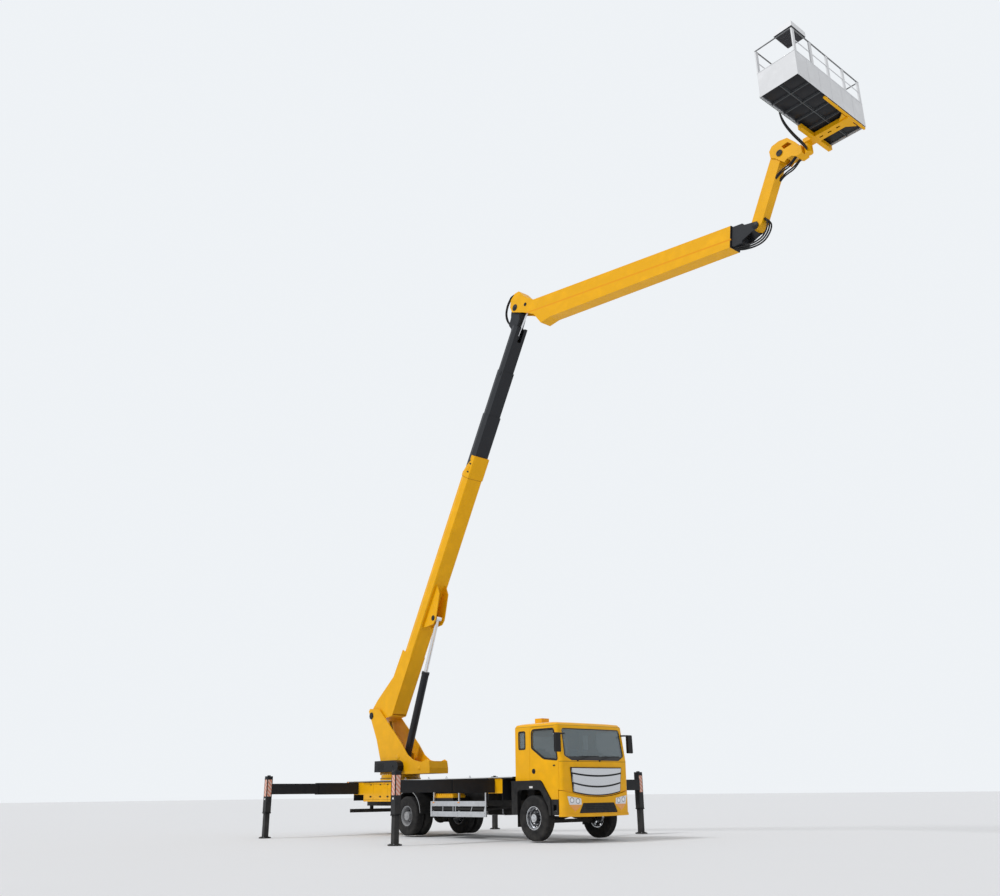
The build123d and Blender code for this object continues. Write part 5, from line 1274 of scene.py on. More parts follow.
@dataclass
class Cab:
    """Cab skin, glass, seals, handles, wipers, lamps, grille, seats and dashboard."""

    half: float = 1.110
    door_x0: float = 5.030
    door_x1: float = 6.040
    belt: float = 1.800
    front_x: float = 6.160
    bow: float = 0.040
    lean: float = 0.130
    screen_height: float = 0.8
    nose_half: float = 1.03
    seat_floor: float = 1.4103
    bumper_x: float = 6.235
    bumper_half: float = 0.96
    mouth_top: float = 0.858
    mouth_half: float = 0.515
    mouth_slope: float = 1.70
    mesh_step: float = 0.046

    def build(self) -> None:
        """Build and dress the cab."""
        dress("yellow_cab", "cab_shell", "bumper")
        dress("yellow_plain", "door_right", "door_left")
        dress("side_glass", "door_glass_right", "door_glass_left")
        dress("screen_glass", "cab_glass")
        dress("grille_bars", "grille")
        dress("headlamp_lens", "lamps")
        dress("black_mirrors", "mirrors")
        self._seals()
        self._handles()
        self._wipers()
        self._mouth_mesh()
        self._steps()
        self._seats()
        self._dashboard()

    def _nose_x(self, y: float, z: float) -> float:
        """X of the cab's bowed front at a place."""
        lean = 0.0 if z < self.belt else self.lean * (z - self.belt) / self.screen_height
        return self.front_x - lean + self.bow * (1 - (y / self.nose_half) ** 2)

    def _door_window(self) -> list[tuple[float, float]]:
        """Outline of the window in a door.

        Returns:
            The outline.
        """
        x0, x1, b = self.door_x0, self.door_x1, self.belt
        return rounded([(x0 + 0.1, 2.52, 0.1), (x0 + 0.1, 2.12, 0.06), (x0 + 0.48, b + 0.09, 0.06),
                        (x0 + 0.54, b + 0.07, 0.02), (x1 - 0.04, b + 0.03, 0.03), (x1 - 0.145, 2.52, 0.06)])

    def _seals(self) -> None:
        """Black surrounds of the side windows, and the dark pillar in front of each door."""
        quarter = rounded([(4.665, 2.110, 0.025), (4.875, 2.110, 0.025), (4.875, 2.490, 0.025),
                           (4.665, 2.490, 0.025)])
        for side in Side:
            place = side_place(side.value * (self.half - 0.0005), side.value)
            window = self._door_window()
            door = Shape().frame_ring(grown(window, -0.010), grown(window, 0.030), 0.0035, place)
            door.piece(f"door_window_seal_{side.word}", "black_seal", f"door_{side.word}_body", Slot.PLASTIC)
            shell = Shape().frame_ring(grown(quarter, -0.008), grown(quarter, 0.028), 0.0035, place)
            pillar = [(5.990, 2.200), (6.020, 2.010), (6.068, 2.010), (6.040, 2.200)]
            shell.plate(pillar, 0.0015, place)
            shell.piece(f"quarter_window_seal_{side.word}", "black_seal", "chassis", Slot.PLASTIC)

    def _handles(self) -> None:
        """Round handle bowls with a grip, a swage line and a side marker on each door."""
        for side in Side:
            y = side.value * self.half
            bowl = truck(5.180, y, 1.580)
            shape = Shape().lathe([(0.060, 0.0), (0.058, 0.006), (0.050, 0.007), (0.044, 0.002),
                                   (0.0, 0.0015)], bowl, side.out, 28)
            y0, y1 = side.span(self.half + 0.004, self.half + 0.014)
            shape.box(truck(5.130, y0, 1.572), truck(5.232, y1, 1.594), 0.004)
            shape.piece(f"door_handle_{side.word}", "black_seal", f"door_{side.word}_body", Slot.PLASTIC)
            marker = Shape()
            y0, y1 = side.span(self.half - SINK, self.half + 0.010)
            marker.box(truck(5.860, y0, 1.682), truck(5.930, y1, 1.712), 0.004)
            marker.piece(f"side_marker_{side.word}", "black_seal", f"door_{side.word}_body", Slot.PLASTIC)
            line = Shape()
            y0, y1 = side.span(self.half - SINK, self.half + 0.002)
            line.box(truck(5.250, y0, 1.578), truck(5.900, y1, 1.586), 0.001)
            line.piece(f"door_swage_{side.word}", "yellow_plain", f"door_{side.word}_body", Slot.YELLOW)

    def _wipers(self) -> None:
        """Two wipers that rest low on the windscreen, and the cowl strip under them."""
        for index, (pivot_y, tip_y) in enumerate(((-0.62, 0.02), (0.10, 0.74))):
            z0, z1 = 1.80, 1.90
            foot = truck(self._nose_x(pivot_y, z0) + 0.004, pivot_y, z0)
            knee_y = pivot_y + 0.62 * (tip_y - pivot_y)
            knee = truck(self._nose_x(knee_y, z1) + 0.010, knee_y, z1)
            shape = Shape().rod(foot - Vector((0.03, 0, 0)), foot + Vector((0.014, 0, 0)), 0.018, 14,
                                rounded=0.004)
            shape.rod(foot + Vector((0.008, 0, 0)), knee, 0.008, 8, 0.005)
            blade = [truck(self._nose_x(y, z1) - 0.002, y, z1 + 0.015 * (y - knee_y))
                     for y in (pivot_y + 0.12, knee_y, tip_y + 0.10)]
            shape.rod(blade[0], blade[1], 0.006, 6)
            shape.rod(blade[1], blade[2], 0.006, 6)
            shape.piece(f"wiper_{index + 1}", "black_seal", "chassis", Slot.PLASTIC)

    def _mouth_mesh(self) -> None:
        """Upright bars that cross the slats in the bumper's mouth."""
        shape = Shape()
        for index in range(-13, 14):
            y = index * self.mesh_step
            top = self.mouth_top - max(0.0, abs(y) - self.mouth_half) * self.mouth_slope
            x = self.bumper_x - 0.040 + self.bow * (1 - (y / self.bumper_half) ** 2) - 0.010
            shape.box(truck(x - 0.006, y - 0.003, 0.643), truck(x + 0.003, y + 0.003, top), 0.001,
                      segments=1)
        shape.piece("mouth_mesh", "black_seal", "chassis", Slot.PLASTIC)

    def _steps(self) -> None:
        """Ribbed treads in the step boxes under the doors."""
        shape = Shape()
        for side in Side:
            y0, y1 = side.span(1.052, 1.122)
            for index in range(5):
                x = 5.855 + index * 0.022
                shape.box(truck(x, y0, 0.691), truck(x + 0.010, y1, 0.699), 0.002, segments=1)
        shape.piece("step_treads", "bolt_steel", "chassis", Slot.ALUMINIUM)

    def _cushion(self, low: Vector, high: Vector, crown: float, place: Matrix) -> Shape:
        """Crowned closed form of a seat part.

        Args:
            low: lowest corner in its own frame.
            high: highest corner in its own frame.
            crown: height of the crown at its middle.
            place: matrix of its frame.

        Returns:
            The shape.
        """
        shape = Shape()
        shape.box(low, high)
        bmesh.ops.subdivide_edges(shape.bm, edges=shape.bm.edges[:], cuts=6, use_grid_fill=True)
        middle, size = (low + high) / 2, high - low
        for vert in shape.bm.verts:
            u = 2 * (vert.co.x - middle.x) / size.x
            v = 2 * (vert.co.y - middle.y) / size.y
            w = 2 * (vert.co.z - middle.z) / size.z
            inward = 1 - 0.10 * (u * u * v * v + v * v * w * w + u * u * w * w) / 3
            channel = 0.12 * crown * (1 + math.cos(v * 4 * math.pi))
            vert.co.x = middle.x + (vert.co.x - middle.x) * inward
            vert.co.y = middle.y + (vert.co.y - middle.y) * inward
            lift = (crown * (1 - u * u) * (1 - v * v) - channel) if w > 0 else 0.0
            vert.co.z = middle.z + (vert.co.z - middle.z) * inward + lift
        bmesh.ops.smooth_vert(shape.bm, verts=shape.bm.verts[:], factor=0.5,
                              use_axis_x=True, use_axis_y=True, use_axis_z=True)
        bmesh.ops.transform(shape.bm, matrix=place, verts=shape.bm.verts[:])
        return shape

    def _seats(self) -> None:
        """Two seats: base cushion, back cushion and head cushion each, on plastic plinths."""
        first = None
        for word, y in (("right", -0.56), ("left", 0.56)):
            plinth = Shape().box(truck(4.90, y - 0.20, self.seat_floor),
                                 truck(5.28, y + 0.20, self.seat_floor + 0.075), 0.02)
            plinth.piece(f"seat_plinth_{word}", "cab_plastic", "chassis", Slot.TRIM)
            base_place = Matrix.Translation(truck(5.09, y, self.seat_floor + 0.12))
            base = self._cushion(Vector((-0.235, -0.235, -0.045)), Vector((0.235, 0.235, 0.035)), 0.022,
                                 base_place)
            lean = Matrix.Rotation(math.radians(-78), 4, "Y")
            back_place = Matrix.Translation(truck(4.895, y, self.seat_floor + 0.39)) @ lean
            back = self._cushion(Vector((-0.25, -0.23, -0.045)), Vector((0.25, 0.23, 0.045)), 0.020,
                                 back_place)
            head_place = Matrix.Translation(truck(4.838, y, self.seat_floor + 0.67)) @ lean
            head = self._cushion(Vector((-0.045, -0.13, -0.035)), Vector((0.045, 0.13, 0.035)), 0.010,
                                 head_place)
            for kind, shape in (("base", base), ("back", back), ("head", head)):
                made = shape.piece(f"seat_{kind}_{word}", "seat_cloth", "chassis", Slot.TRIM, 80.0)
                smooth = made.modifiers.new("soft", "SUBSURF")
                smooth.levels = 1
                smooth.render_levels = 1
                first = first or made
        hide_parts("cab_interior")

    def _dashboard(self) -> None:
        """Dashboard with a hooded dial panel, vents, steering column and wheel."""
        shape = Shape().box(truck(5.730, -1.030, 1.310), truck(6.080, 1.030, 1.700), 0.05, segments=3)
        shape.box(truck(5.700, 0.330, 1.640), truck(5.980, 0.800, 1.780), 0.035, segments=3)
        shape.box(truck(5.690, -0.240, 1.420), truck(5.760, 0.240, 1.680), 0.02)
        for y in (-0.88, -0.60, 0.90):
            for step in range(4):
                z = 1.600 + step * 0.018
                shape.box(truck(5.722, y - 0.07, z), truck(5.734, y + 0.07, z + 0.008), 0.002, segments=1)
        shape.piece("dashboard", "cab_plastic", "chassis", Slot.TRIM)
        axis = Vector((-math.sin(math.radians(60)), 0, math.cos(math.radians(60))))
        middle = truck(5.51, 0.56, 1.71)
        wheel = Shape()
        wheel.lathe(torus(0.210, 0.015), middle, axis, 40, closed=True)
        wheel.lathe([(0.0, 0.016), (0.045, 0.012), (0.060, 0.0), (0.055, -0.020), (0.0, -0.022)], middle,
                    axis, 24)
        across = Vector((0, 1, 0))
        down = axis.cross(across)
        for way in (across, -across, down):
            wheel.rod(middle + way * 0.05, middle + way * 0.205, 0.013, 8, 0.009)
        wheel.rod(middle - axis * 0.02, middle - axis * 0.30, 0.026, 16)
        wheel.piece("steering_wheel", "cab_plastic", "chassis", Slot.TRIM, 50.0)


@dataclass
class DeckGear:
    """Deck, tank, lockers, guards, covers and lamps between the axles."""

    deck_top: float = 1.475
    locker_face: float = 1.1245
    guard_face: float = 1.1495
    lamp_depth: float = 0.013

    def build(self) -> None:
        """Build and dress what the frame carries."""
        dress("charcoal_deck", "deck")
        dress("chassis_plain", "fuel_tank")
        dress("yellow_lockers", "side_lockers")
        dress("guard_bars", "side_guards")
        dress("black_covers", "wheel_covers")
        self._side_lamps()
        self._locker_handles()
        self._tank_fittings()
        self._guard_skins()
        self._guard_bolts()
        self._valve_bank()
        self._deck_fittings()

    def _side_lamps(self) -> None:
        """Amber lamps low along both sides and two on the column behind the cab."""
        amber = Shape()
        for side in Side:
            for x, z, face in (
                    (2.30, 0.880, self.guard_face), (1.22, 0.880, self.guard_face),
                    (-1.20, 1.400, self.locker_face), (-3.10, 1.446, self.guard_face)):
                y0, y1 = side.span(face, face + self.lamp_depth)
                amber.box(truck(x - 0.035, y0, z - 0.016), truck(x + 0.035, y1, z + 0.016), 0.005)
        amber.rod(truck(4.230, 0.380, 1.774), truck(4.230, 0.380, 1.790), 0.046, 20, rounded=0.004)
        amber.piece("side_lamps", "amber_lens", "chassis", Slot.LENS)
        Shape().rod(truck(4.230, 0.380, 1.790), truck(4.230, 0.380, 1.815), 0.044, 20, 0.030, 0.006).piece(
            "column_lamp", "red_lens", "chassis", Slot.LENS)

    def _locker_handles(self) -> None:
        """Latches and hinges on the rear lockers and the battery box."""
        shape = Shape()
        for side in Side:
            face = self.locker_face
            for x in (-1.90, -1.40, -1.02):
                y0, y1 = side.span(face, face + 0.012)
                shape.box(truck(x - 0.045, y0, 1.020), truck(x + 0.045, y1, 1.060), 0.006)
                shape.box(truck(x - 0.030, y0, 1.350), truck(x + 0.030, y1, 1.380), 0.004)
        shape.box(truck(1.30, -1.070, 0.800), truck(1.40, -1.0595, 0.850), 0.006)
        shape.box(truck(1.70, -1.070, 0.800), truck(1.80, -1.0595, 0.850), 0.006)
        shape.piece("locker_latches", "black_seal", "chassis", Slot.PLASTIC)

    def _tank_fittings(self) -> None:
        """Two straps round the fuel tank and its filler cap."""
        shape = Shape()
        outline = rounded([(0.535, 0.535, 0.085), (1.065, 0.535, 0.085), (1.065, 0.985, 0.085),
                           (0.535, 0.985, 0.085)])
        turn = Matrix(((0, 0, 1), (1, 0, 0), (0, 1, 0))).to_4x4()
        for x in (1.40, 2.06):
            place = Matrix.Translation(truck(x, 0, 0)) @ turn
            shape.frame_ring(grown(outline, -0.004), grown(outline, 0.003), 0.05, place)
        shape.piece("tank_straps", "brushed_aluminium", "chassis", Slot.ALUMINIUM)
        cap = Shape().lathe([(0.0, 0.050), (0.040, 0.048), (0.047, 0.040), (0.047, 0.010), (0.036, 0.008),
                             (0.036, -0.004), (0.0, -0.004)], truck(1.75, 0.93, 0.980), UP, 24)
        cap.piece("filler_cap", "black_seal", "chassis", Slot.PLASTIC)

    def _guard_skins(self) -> None:
        """Bright sheets over the guards' upper and lower bars, which leave one long window between them."""
        for side in Side:
            place = side_place(side.value * (self.guard_face + 0.0002), side.value)
            shape = Shape()
            window = rounded([(1.150, 0.664, 0.012), (3.330, 0.664, 0.012), (3.375, 0.790, 0.012),
                              (1.150, 0.790, 0.012)], 3)
            edge = rounded([(1.086, 0.536, 0.012), (3.424, 0.536, 0.012), (3.424, 0.914, 0.012),
                            (1.086, 0.914, 0.012)], 3)
            shape.frame_ring(window, edge, 0.003, place)
            for x, lean in ((1.62, 0.0), (2.06, 0.0), (2.16, 0.0), (2.80, 0.06)):
                shape.plate([(x, 0.660), (x + 0.022, 0.660), (x + 0.022 + lean, 0.794), (x + lean, 0.794)],
                            0.003, place)
            shape.piece(f"guard_skin_{side.word}", "brushed_aluminium", "chassis", Slot.ALUMINIUM)

    def _valve_bank(self) -> None:
        """Ribbed yellow valve bank on the battery box."""
        shape = Shape().box(truck(1.16, -1.050, 0.989), truck(1.94, -0.640, 1.060), 0.008)
        for index in range(9):
            x = 1.190 + index * 0.084
            shape.box(truck(x, -1.056, 1.000), truck(x + 0.052, -0.660, 1.100), 0.008)
        shape.piece("valve_bank", "yellow_plain", "chassis", Slot.YELLOW)

    def _guard_bolts(self) -> None:
        """Round-headed bolts where the side guards' bars meet their uprights."""
        shape = Shape()
        for side in Side:
            points = [truck(x, side.value * (self.guard_face + 0.003), z)
                      for x in (1.18, 2.27, 3.36) for z in (0.570, 0.620, 0.880)]
            shape.bolts(points, side.out, 0.008, 0.006)
        shape.piece("guard_bolts", "bolt_steel", "chassis", Slot.ALUMINIUM)

    def _deck_fittings(self) -> None:
        """Lashing eyes along the deck's edges."""
        shape = Shape()
        for side in Side:
            for x in (-0.20, 0.90, 1.70, 2.70):
                foot = truck(x, side.value * 1.09, self.deck_top - SINK)
                shape.box(foot - Vector((0.05, 0.02, 0)), foot + Vector((0.05, 0.02, 0.006)), 0.002)
                shape.lathe(torus(0.026, 0.006), foot + UP * 0.026, Vector((0, 1, 0)), 20, closed=True)
        shape.piece("lashing_eyes", "bolt_steel", "chassis", Slot.CHARCOAL, 50.0)


@dataclass
class Outriggers:
    """Cross boxes, telescopic beams and jacks with their strips, caps and bolts."""

    jack_y: float = 4.0
    stagger: float = 0.140
    post_half: float = 0.082
    skin_sink: float = 0.0005
    skin_height: float = 0.0020
    lip_half: float = 0.090
    lip_round: float = 0.003
    lip_opening: float = 0.0665

    def build(self) -> None:
        """Build and dress the outriggers."""
        dress("yellow_sleeves", "outrigger_sleeves")
        for side in Side:
            for end in End:
                tag = f"{end.word}_{side.word}"
                dress("charcoal_plain", f"beam_inner_{tag}", f"beam_outer_{tag}", f"jack_leg_{tag}")
                self._jack(side, end, tag)
        self._sleeve_bolts()

    def _jack(self, side: Side, end: End, tag: str) -> None:
        """Warning strips, mark, cap, lip and foot bolts of one jack.

        Args:
            side: side of the truck.
            end: end of the truck.
            tag: name of the corner.
        """
        x = end.value + side.value * self.stagger
        y = side.value * self.jack_y
        y0, y1 = side.span(self.jack_y + self.post_half - self.skin_sink,
                           self.jack_y + self.post_half + self.skin_height)
        strips = Shape().box(truck(x - 0.060, y0, 1.080), truck(x + 0.060, y1, 1.520))
        for way in (-1, 1):
            face = x + way * self.post_half
            x0, x1 = sorted((face - way * self.skin_sink, face + way * self.skin_height))
            strips.box(truck(x0, y - 0.060, 1.080), truck(x1, y + 0.060, 1.520))
        strips.piece(f"warning_strips_{tag}", "warning_strip", f"beam_outer_{tag}_body", Slot.WHITE)
        mark = Shape().box(truck(x - 0.030, y0, 0.990), truck(x + 0.030, y1, 1.030))
        mark.piece(f"jack_mark_{tag}", "white_mark", f"beam_outer_{tag}_body", Slot.WHITE)
        cap = Shape().box(truck(x - 0.084, y - 0.084, 1.559), truck(x + 0.084, y + 0.084, 1.612), 0.010)
        cap.box(truck(x - 0.035, y - 0.035, 1.611), truck(x + 0.035, y + 0.035, 1.636), 0.006)
        cap.piece(f"jack_cap_{tag}", "charcoal_plain", f"beam_outer_{tag}_body", Slot.CHARCOAL)
        half = self.lip_half
        lip = Shape().box(truck(x - half, y - half, 0.640), truck(x + half, y + half, 0.665), self.lip_round)
        inset = half - self.lip_round - self.lip_opening
        for face in list(lip.bm.faces):
            if abs(face.normal.z) > 0.9:
                bmesh.ops.inset_individual(lip.bm, faces=[face], thickness=inset, depth=0.0)
        lip.piece(f"jack_lip_{tag}", "charcoal_plain", f"beam_outer_{tag}_body", Slot.CHARCOAL)
        spots = ring(truck(x, y, 0.0295), 0.125, 4, level=True, first=math.pi / 4)
        bolts = Shape().bolts(spots, UP, 0.012, 0.014)
        bolts.piece(f"foot_bolts_{tag}", "bolt_steel", f"jack_{tag}_body", Slot.RIM)

    def _sleeve_bolts(self) -> None:
        """Rows of bolts on the ends of the cross boxes."""
        shape = Shape()
        for end in End:
            for side in Side:
                spots = [truck(end.value + dx, side.value * 1.1249, 1.442)
                         for dx in (-0.22, -0.08, 0.08, 0.22)]
                shape.bolts(spots, side.out, 0.006, 0.005)
        shape.piece("sleeve_bolts", "bolt_steel", "chassis", Slot.YELLOW)


@dataclass
class Turret:
    """Slewing ring, turret plates, covers and pin caps."""

    slew_x: float = -2.024
    plate_face: float = 0.330
    cover_face: float = 0.540
    pin_radius: float = 0.105
    flange_top: float = 1.6495
    flange_circle: float = 0.545

    def build(self) -> None:
        """Build and dress the turret."""
        dress("ring_layers", "slewing_ring")
        dress("yellow_plain", "turret")
        dress("charcoal_plain", "turret_cover")
        self._ring_bolts()
        self._pin_caps()
        self._cover_detail()
        self._plate_detail()

    def _ring_bolts(self) -> None:
        """Bolts round the turret's base flange."""
        points = ring(truck(self.slew_x, 0, self.flange_top), self.flange_circle, 36, level=True)
        visible = [p for p in points if abs(p.y) > 0.34 or p.x < truck(-2.66, 0, 0).x]
        bolts = Shape().bolts(visible, UP, 0.014, 0.018)
        bolts.piece("ring_bolts", "bolt_steel", "turret_body", Slot.CHARCOAL)

    def _pin_caps(self) -> None:
        """Caps over the ends of the boom's pivot pin."""
        for side in Side:
            radius = self.pin_radius
            foot = BOOM.at(0.0, side.value * (self.plate_face - SINK), 0.0)
            shape = Shape().lathe([(0.0, 0.022), (radius * 0.55, 0.022), (radius * 0.62, 0.014),
                                   (radius, 0.013), (radius, 0.0), (0.0, 0.0)], foot, side.out, 32)
            shape.bolts(ring(foot + side.out * 0.012, radius * 0.8, 6), side.out, 0.008, 0.008)
            shape.piece(f"pivot_caps_{side.word}", "charcoal_plain", "turret_body", Slot.CHARCOAL)

    def _cover_detail(self) -> None:
        """Louvres and a latch on the dark covers."""
        for side in Side:
            shape = Shape()
            y0, y1 = side.span(self.cover_face - SINK, self.cover_face + 0.008)
            for index in range(7):
                z = 1.790 + index * 0.028
                shape.box(truck(-2.50, y0, z), truck(-2.16, y1, z + 0.012), 0.003, segments=1)
            shape.box(truck(-1.74, y0, 1.86), truck(-1.66, y1, 1.90), 0.006)
            shape.piece(f"cover_louvres_{side.word}", "black_seal", "turret_body", Slot.CHARCOAL)

    def _plate_detail(self) -> None:
        """Round inspection covers, and hoses up to the boom's foot."""
        for side in Side:
            shape = Shape()
            for x, z, radius in ((-1.716, 2.146, 0.085), (-0.62, 1.80, 0.06)):
                shape.lathe([(0.0, 0.010), (radius * 0.8, 0.010), (radius, 0.004), (radius, -0.001),
                             (0.0, -0.001)],
                            truck(x, side.value * self.plate_face, z), side.out, 28)
            shape.piece(f"inspection_covers_{side.word}", "yellow_plain", "turret_body", Slot.YELLOW)
        for index, y in enumerate((-0.235, -0.190, 0.190, 0.235)):
            route = [truck(-2.45, y, 1.71), truck(-2.50, y, 2.00), truck(-2.62, y, 2.45),
                     truck(-2.85, y, 2.95), truck(-2.93, y, 3.13), truck(-2.96, y, 3.248)]
            hose(f"turret_hose_{index + 1}", route, 0.014,
                 (truck(-2.62, 0, 2.45), truck(-2.95, 0, 3.20)))


@dataclass
class MainBoom:
    """Base and three sections of the boom, and the pipes of both cylinders."""

    mid_n: float = -0.665
    ends: tuple[tuple[str, float, float, float], ...] = (
        ("boom_base", 8.850, 0.265, 0.536),
        ("boom_section_2", 10.150, 0.238, 0.480),
        ("boom_section_3", 11.550, 0.219, 0.442),
    )

    def build(self) -> None:
        """Build and dress the boom."""
        dress("yellow_boom", "boom_base")
        dress("charcoal_sections", "boom_section_2", "boom_section_3", "boom_section_4", "lift_barrel",
              "knee_barrel")
        dress("chrome_plated", "lift_rod", "knee_rod")
        self._mouth_bolts()
        self._lugs()
        self._root_caps()
        self._knee_hoses()
        self._cylinder_fittings()

    def _mouth_bolts(self) -> None:
        """Pad bolts and keeper plates on the sides of the base's and section 3's mouths."""
        for (name, s1, half, depth), collar, back, finish, slot in (
                (self.ends[0], 0.018, 0.420, "yellow_plain", Slot.YELLOW),
                (self.ends[2], 0.0, 0.085, "charcoal_sections", Slot.CHARCOAL)):
            half += collar
            n0 = self.mid_n - depth / 2 + 0.17 * depth
            n1 = self.mid_n - depth / 2 + 0.43 * depth
            spot_s = s1 - back
            shape = Shape()
            for side in Side:
                y0, y1 = side.span(half - SINK, half + 0.006)
                shape.box(Vector((spot_s - 0.060, y0, n0)), Vector((spot_s + 0.060, y1, n1)), 0.003,
                          BOOM.matrix())
                spots = [BOOM.at(spot_s + ds, side.value * (half + 0.005), n0 + dn * (n1 - n0))
                         for ds in (-0.035, 0.035) for dn in (0.2, 0.8)]
                shape.bolts(spots, side.out, 0.010, 0.009)
            shape.piece(f"{name}_keepers", finish, f"{name}_body", slot)

    def _lugs(self) -> None:
        """Sheaves in the lugs on top of sections 2 and 3."""
        for name, s1, _, depth in self.ends[1:]:
            middle = BOOM.at(s1 - 0.068, 0.0, self.mid_n + depth / 2 + 0.050)
            shape = Shape()
            for way in (-1, 1):
                foot = middle + Vector((0, way * 0.0345, 0))
                shape.lathe([(0.0, 0.014), (0.018, 0.014), (0.020, 0.008), (0.034, 0.006), (0.036, 0.0),
                             (0.0, 0.0)], foot,
                            Vector((0, way, 0)), 24)
            shape.piece(f"{name}_lug_pin", "bolt_steel", f"{name}_body", Slot.CHARCOAL)

    def _root_caps(self) -> None:
        """Pin caps on the lift bracket under the base, and rings on the bosses of the last section's head."""
        for side in Side:
            shape = Shape().lathe([(0.0, 0.016), (0.060, 0.015), (0.080, 0.008), (0.082, 0.0), (0.0, 0.0)],
                                  BOOM.at(3.800, side.value * 0.1755, -1.280), side.out, 28)
            shape.piece(f"lift_pin_cap_{side.word}", "charcoal_plain", "boom_base_body", Slot.CHARCOAL)
            cap = Shape().lathe([(0.0, 0.014), (0.050, 0.014), (0.062, 0.008), (0.105, 0.006), (0.112, 0.0),
                                 (0.0, 0.0)],
                                BOOM.at(13.490, side.value * 0.1245, -0.400), side.out, 28)
            cap.piece(f"knee_boss_ring_{side.word}", "charcoal_sections", "boom_section_4_body",
                      Slot.CHARCOAL)

    def _knee_hoses(self) -> None:
        """Hoses that leave the head of the last section and loop into the upper arm."""
        for index, y in enumerate((-0.155, -0.118, -0.078, 0.078, 0.118, 0.155)):
            bulge = 0.02 * (index % 3)
            route = [BOOM.at(12.89, y * 0.55, -0.452), BOOM.at(12.93, y * 0.6, -0.34),
                     BOOM.at(13.04, y, -0.16),
                     BOOM.at(13.24, y, 0.01 + bulge), BOOM.at(13.50, y, 0.07 + bulge),
                     BOOM.at(13.74, y, 0.02 + bulge),
                     ARM.at(-0.27, y, 0.42), ARM.at(-0.12, y, 0.465), ARM.at(-0.02, y, 0.470)]
            hose(f"knee_hose_{index + 1}", route, 0.015,
                 (BOOM.at(13.0, 0, -0.1), ARM.at(-0.20, 0, 0.42)))
        clamp = Shape()
        clamp.box(Vector((12.865, -0.105, -0.466)), Vector((12.915, 0.105, -0.425)), 0.006, BOOM.matrix())
        clamp.piece("knee_hose_clamp", "bolt_steel", "boom_section_4_body", Slot.CHARCOAL)

    def _cylinder_fittings(self) -> None:
        """Ports and pipes on the lift and knee barrels."""
        lift = Tilt(-1.716, 2.146, 69.60)
        foot = BOOM.at(11.450, 0, -0.640)
        knee = Tilt(foot.x + MID_X, foot.z, 54.93)
        for name, tilt, radius, length, body in (("lift", lift, 0.112, 2.58, "lift_barrel_body"),
                                                 ("knee", knee, 0.046, 1.25, "knee_barrel_body")):
            shape = Shape()
            ports = (length * 0.08 + 0.06, length - 0.14)
            for s in ports:
                low = Vector((s - 0.030, -0.022, radius - 0.006))
                shape.box(low, Vector((s + 0.030, 0.022, radius + 0.016)), 0.004, tilt.matrix())
            shape.rod(*(tilt.at(s, 0.0, radius + 0.010) for s in ports), 0.008, 10)
            shape.piece(f"{name}_barrel_pipe", "bolt_steel", body, Slot.CHARCOAL)


@dataclass
class UpperArm:
    """Folding upper arm, its fly, the jib and their hoses."""

    half: float = 0.190

    def build(self) -> None:
        """Build and dress the arm."""
        dress("yellow_arm", "upper_arm")
        dress("charcoal_sections", "arm_fly")
        dress("yellow_plain", "jib")
        self._knee_caps()
        self._elbow_hoses()
        self._jib_detail()

    def _knee_caps(self) -> None:
        """Caps on the knee pin and on the cylinder's lug."""
        for side in Side:
            shape = Shape()
            for x, z, radius in ((0.0, 0.0, 0.105), (0.480, -0.019, 0.055)):
                foot = ARM.at(x, side.value * (self.half - SINK), z)
                shape.lathe([(0.0, 0.018), (radius * 0.5, 0.018), (radius * 0.6, 0.011), (radius, 0.010),
                             (radius, 0.0), (0.0, 0.0)], foot, side.out, 28)
                shape.bolts(ring(foot + side.out * 0.009, radius * 0.8, 4), side.out, 0.007, 0.007)
            shape.piece(f"knee_caps_{side.word}", "charcoal_plain", "upper_arm_body", Slot.CHARCOAL)

    def _elbow_hoses(self) -> None:
        """Hose bundle under the arm's tip that turns up into the jib."""
        for index, y in enumerate((-0.060, 0.0, 0.060)):
            drop = 0.018 * index
            route = [truck(11.58, y, 13.345), truck(11.72, y, 13.305 - drop), truck(11.96, y, 13.240 - drop),
                     truck(12.20, y, 13.215 - drop), truck(12.40, y, 13.260 - drop),
                     truck(12.52 + drop, y, 13.390),
                     truck(12.565 + drop, y, 13.53), truck(12.56, y, 13.63), truck(12.520, y, 13.700)]
            hose(f"elbow_hose_{index + 1}", route, 0.020,
                 (truck(11.98, 0, 13.2), truck(12.50, 0, 13.50)))
        clamp = Shape()
        clamp.box(Vector((0.165, -0.095, -0.176)), Vector((0.205, 0.095, -0.147)), 0.005, JIB.matrix())
        clamp.piece("elbow_hose_clamp", "black_seal", "jib_body", Slot.CHARCOAL)

    def _jib_detail(self) -> None:
        """Pin rings at the jib's foot."""
        for side in Side:
            shape = Shape().lathe([(0.0, 0.014), (0.045, 0.014), (0.055, 0.009), (0.085, 0.008),
                                   (0.088, 0.0), (0.0, 0.0)],
                                  truck(12.290, side.value * 0.1575, 13.580), side.out, 28)
            shape.piece(f"jib_pin_cap_{side.word}", "black_seal", "arm_fly_body", Slot.CHARCOAL)


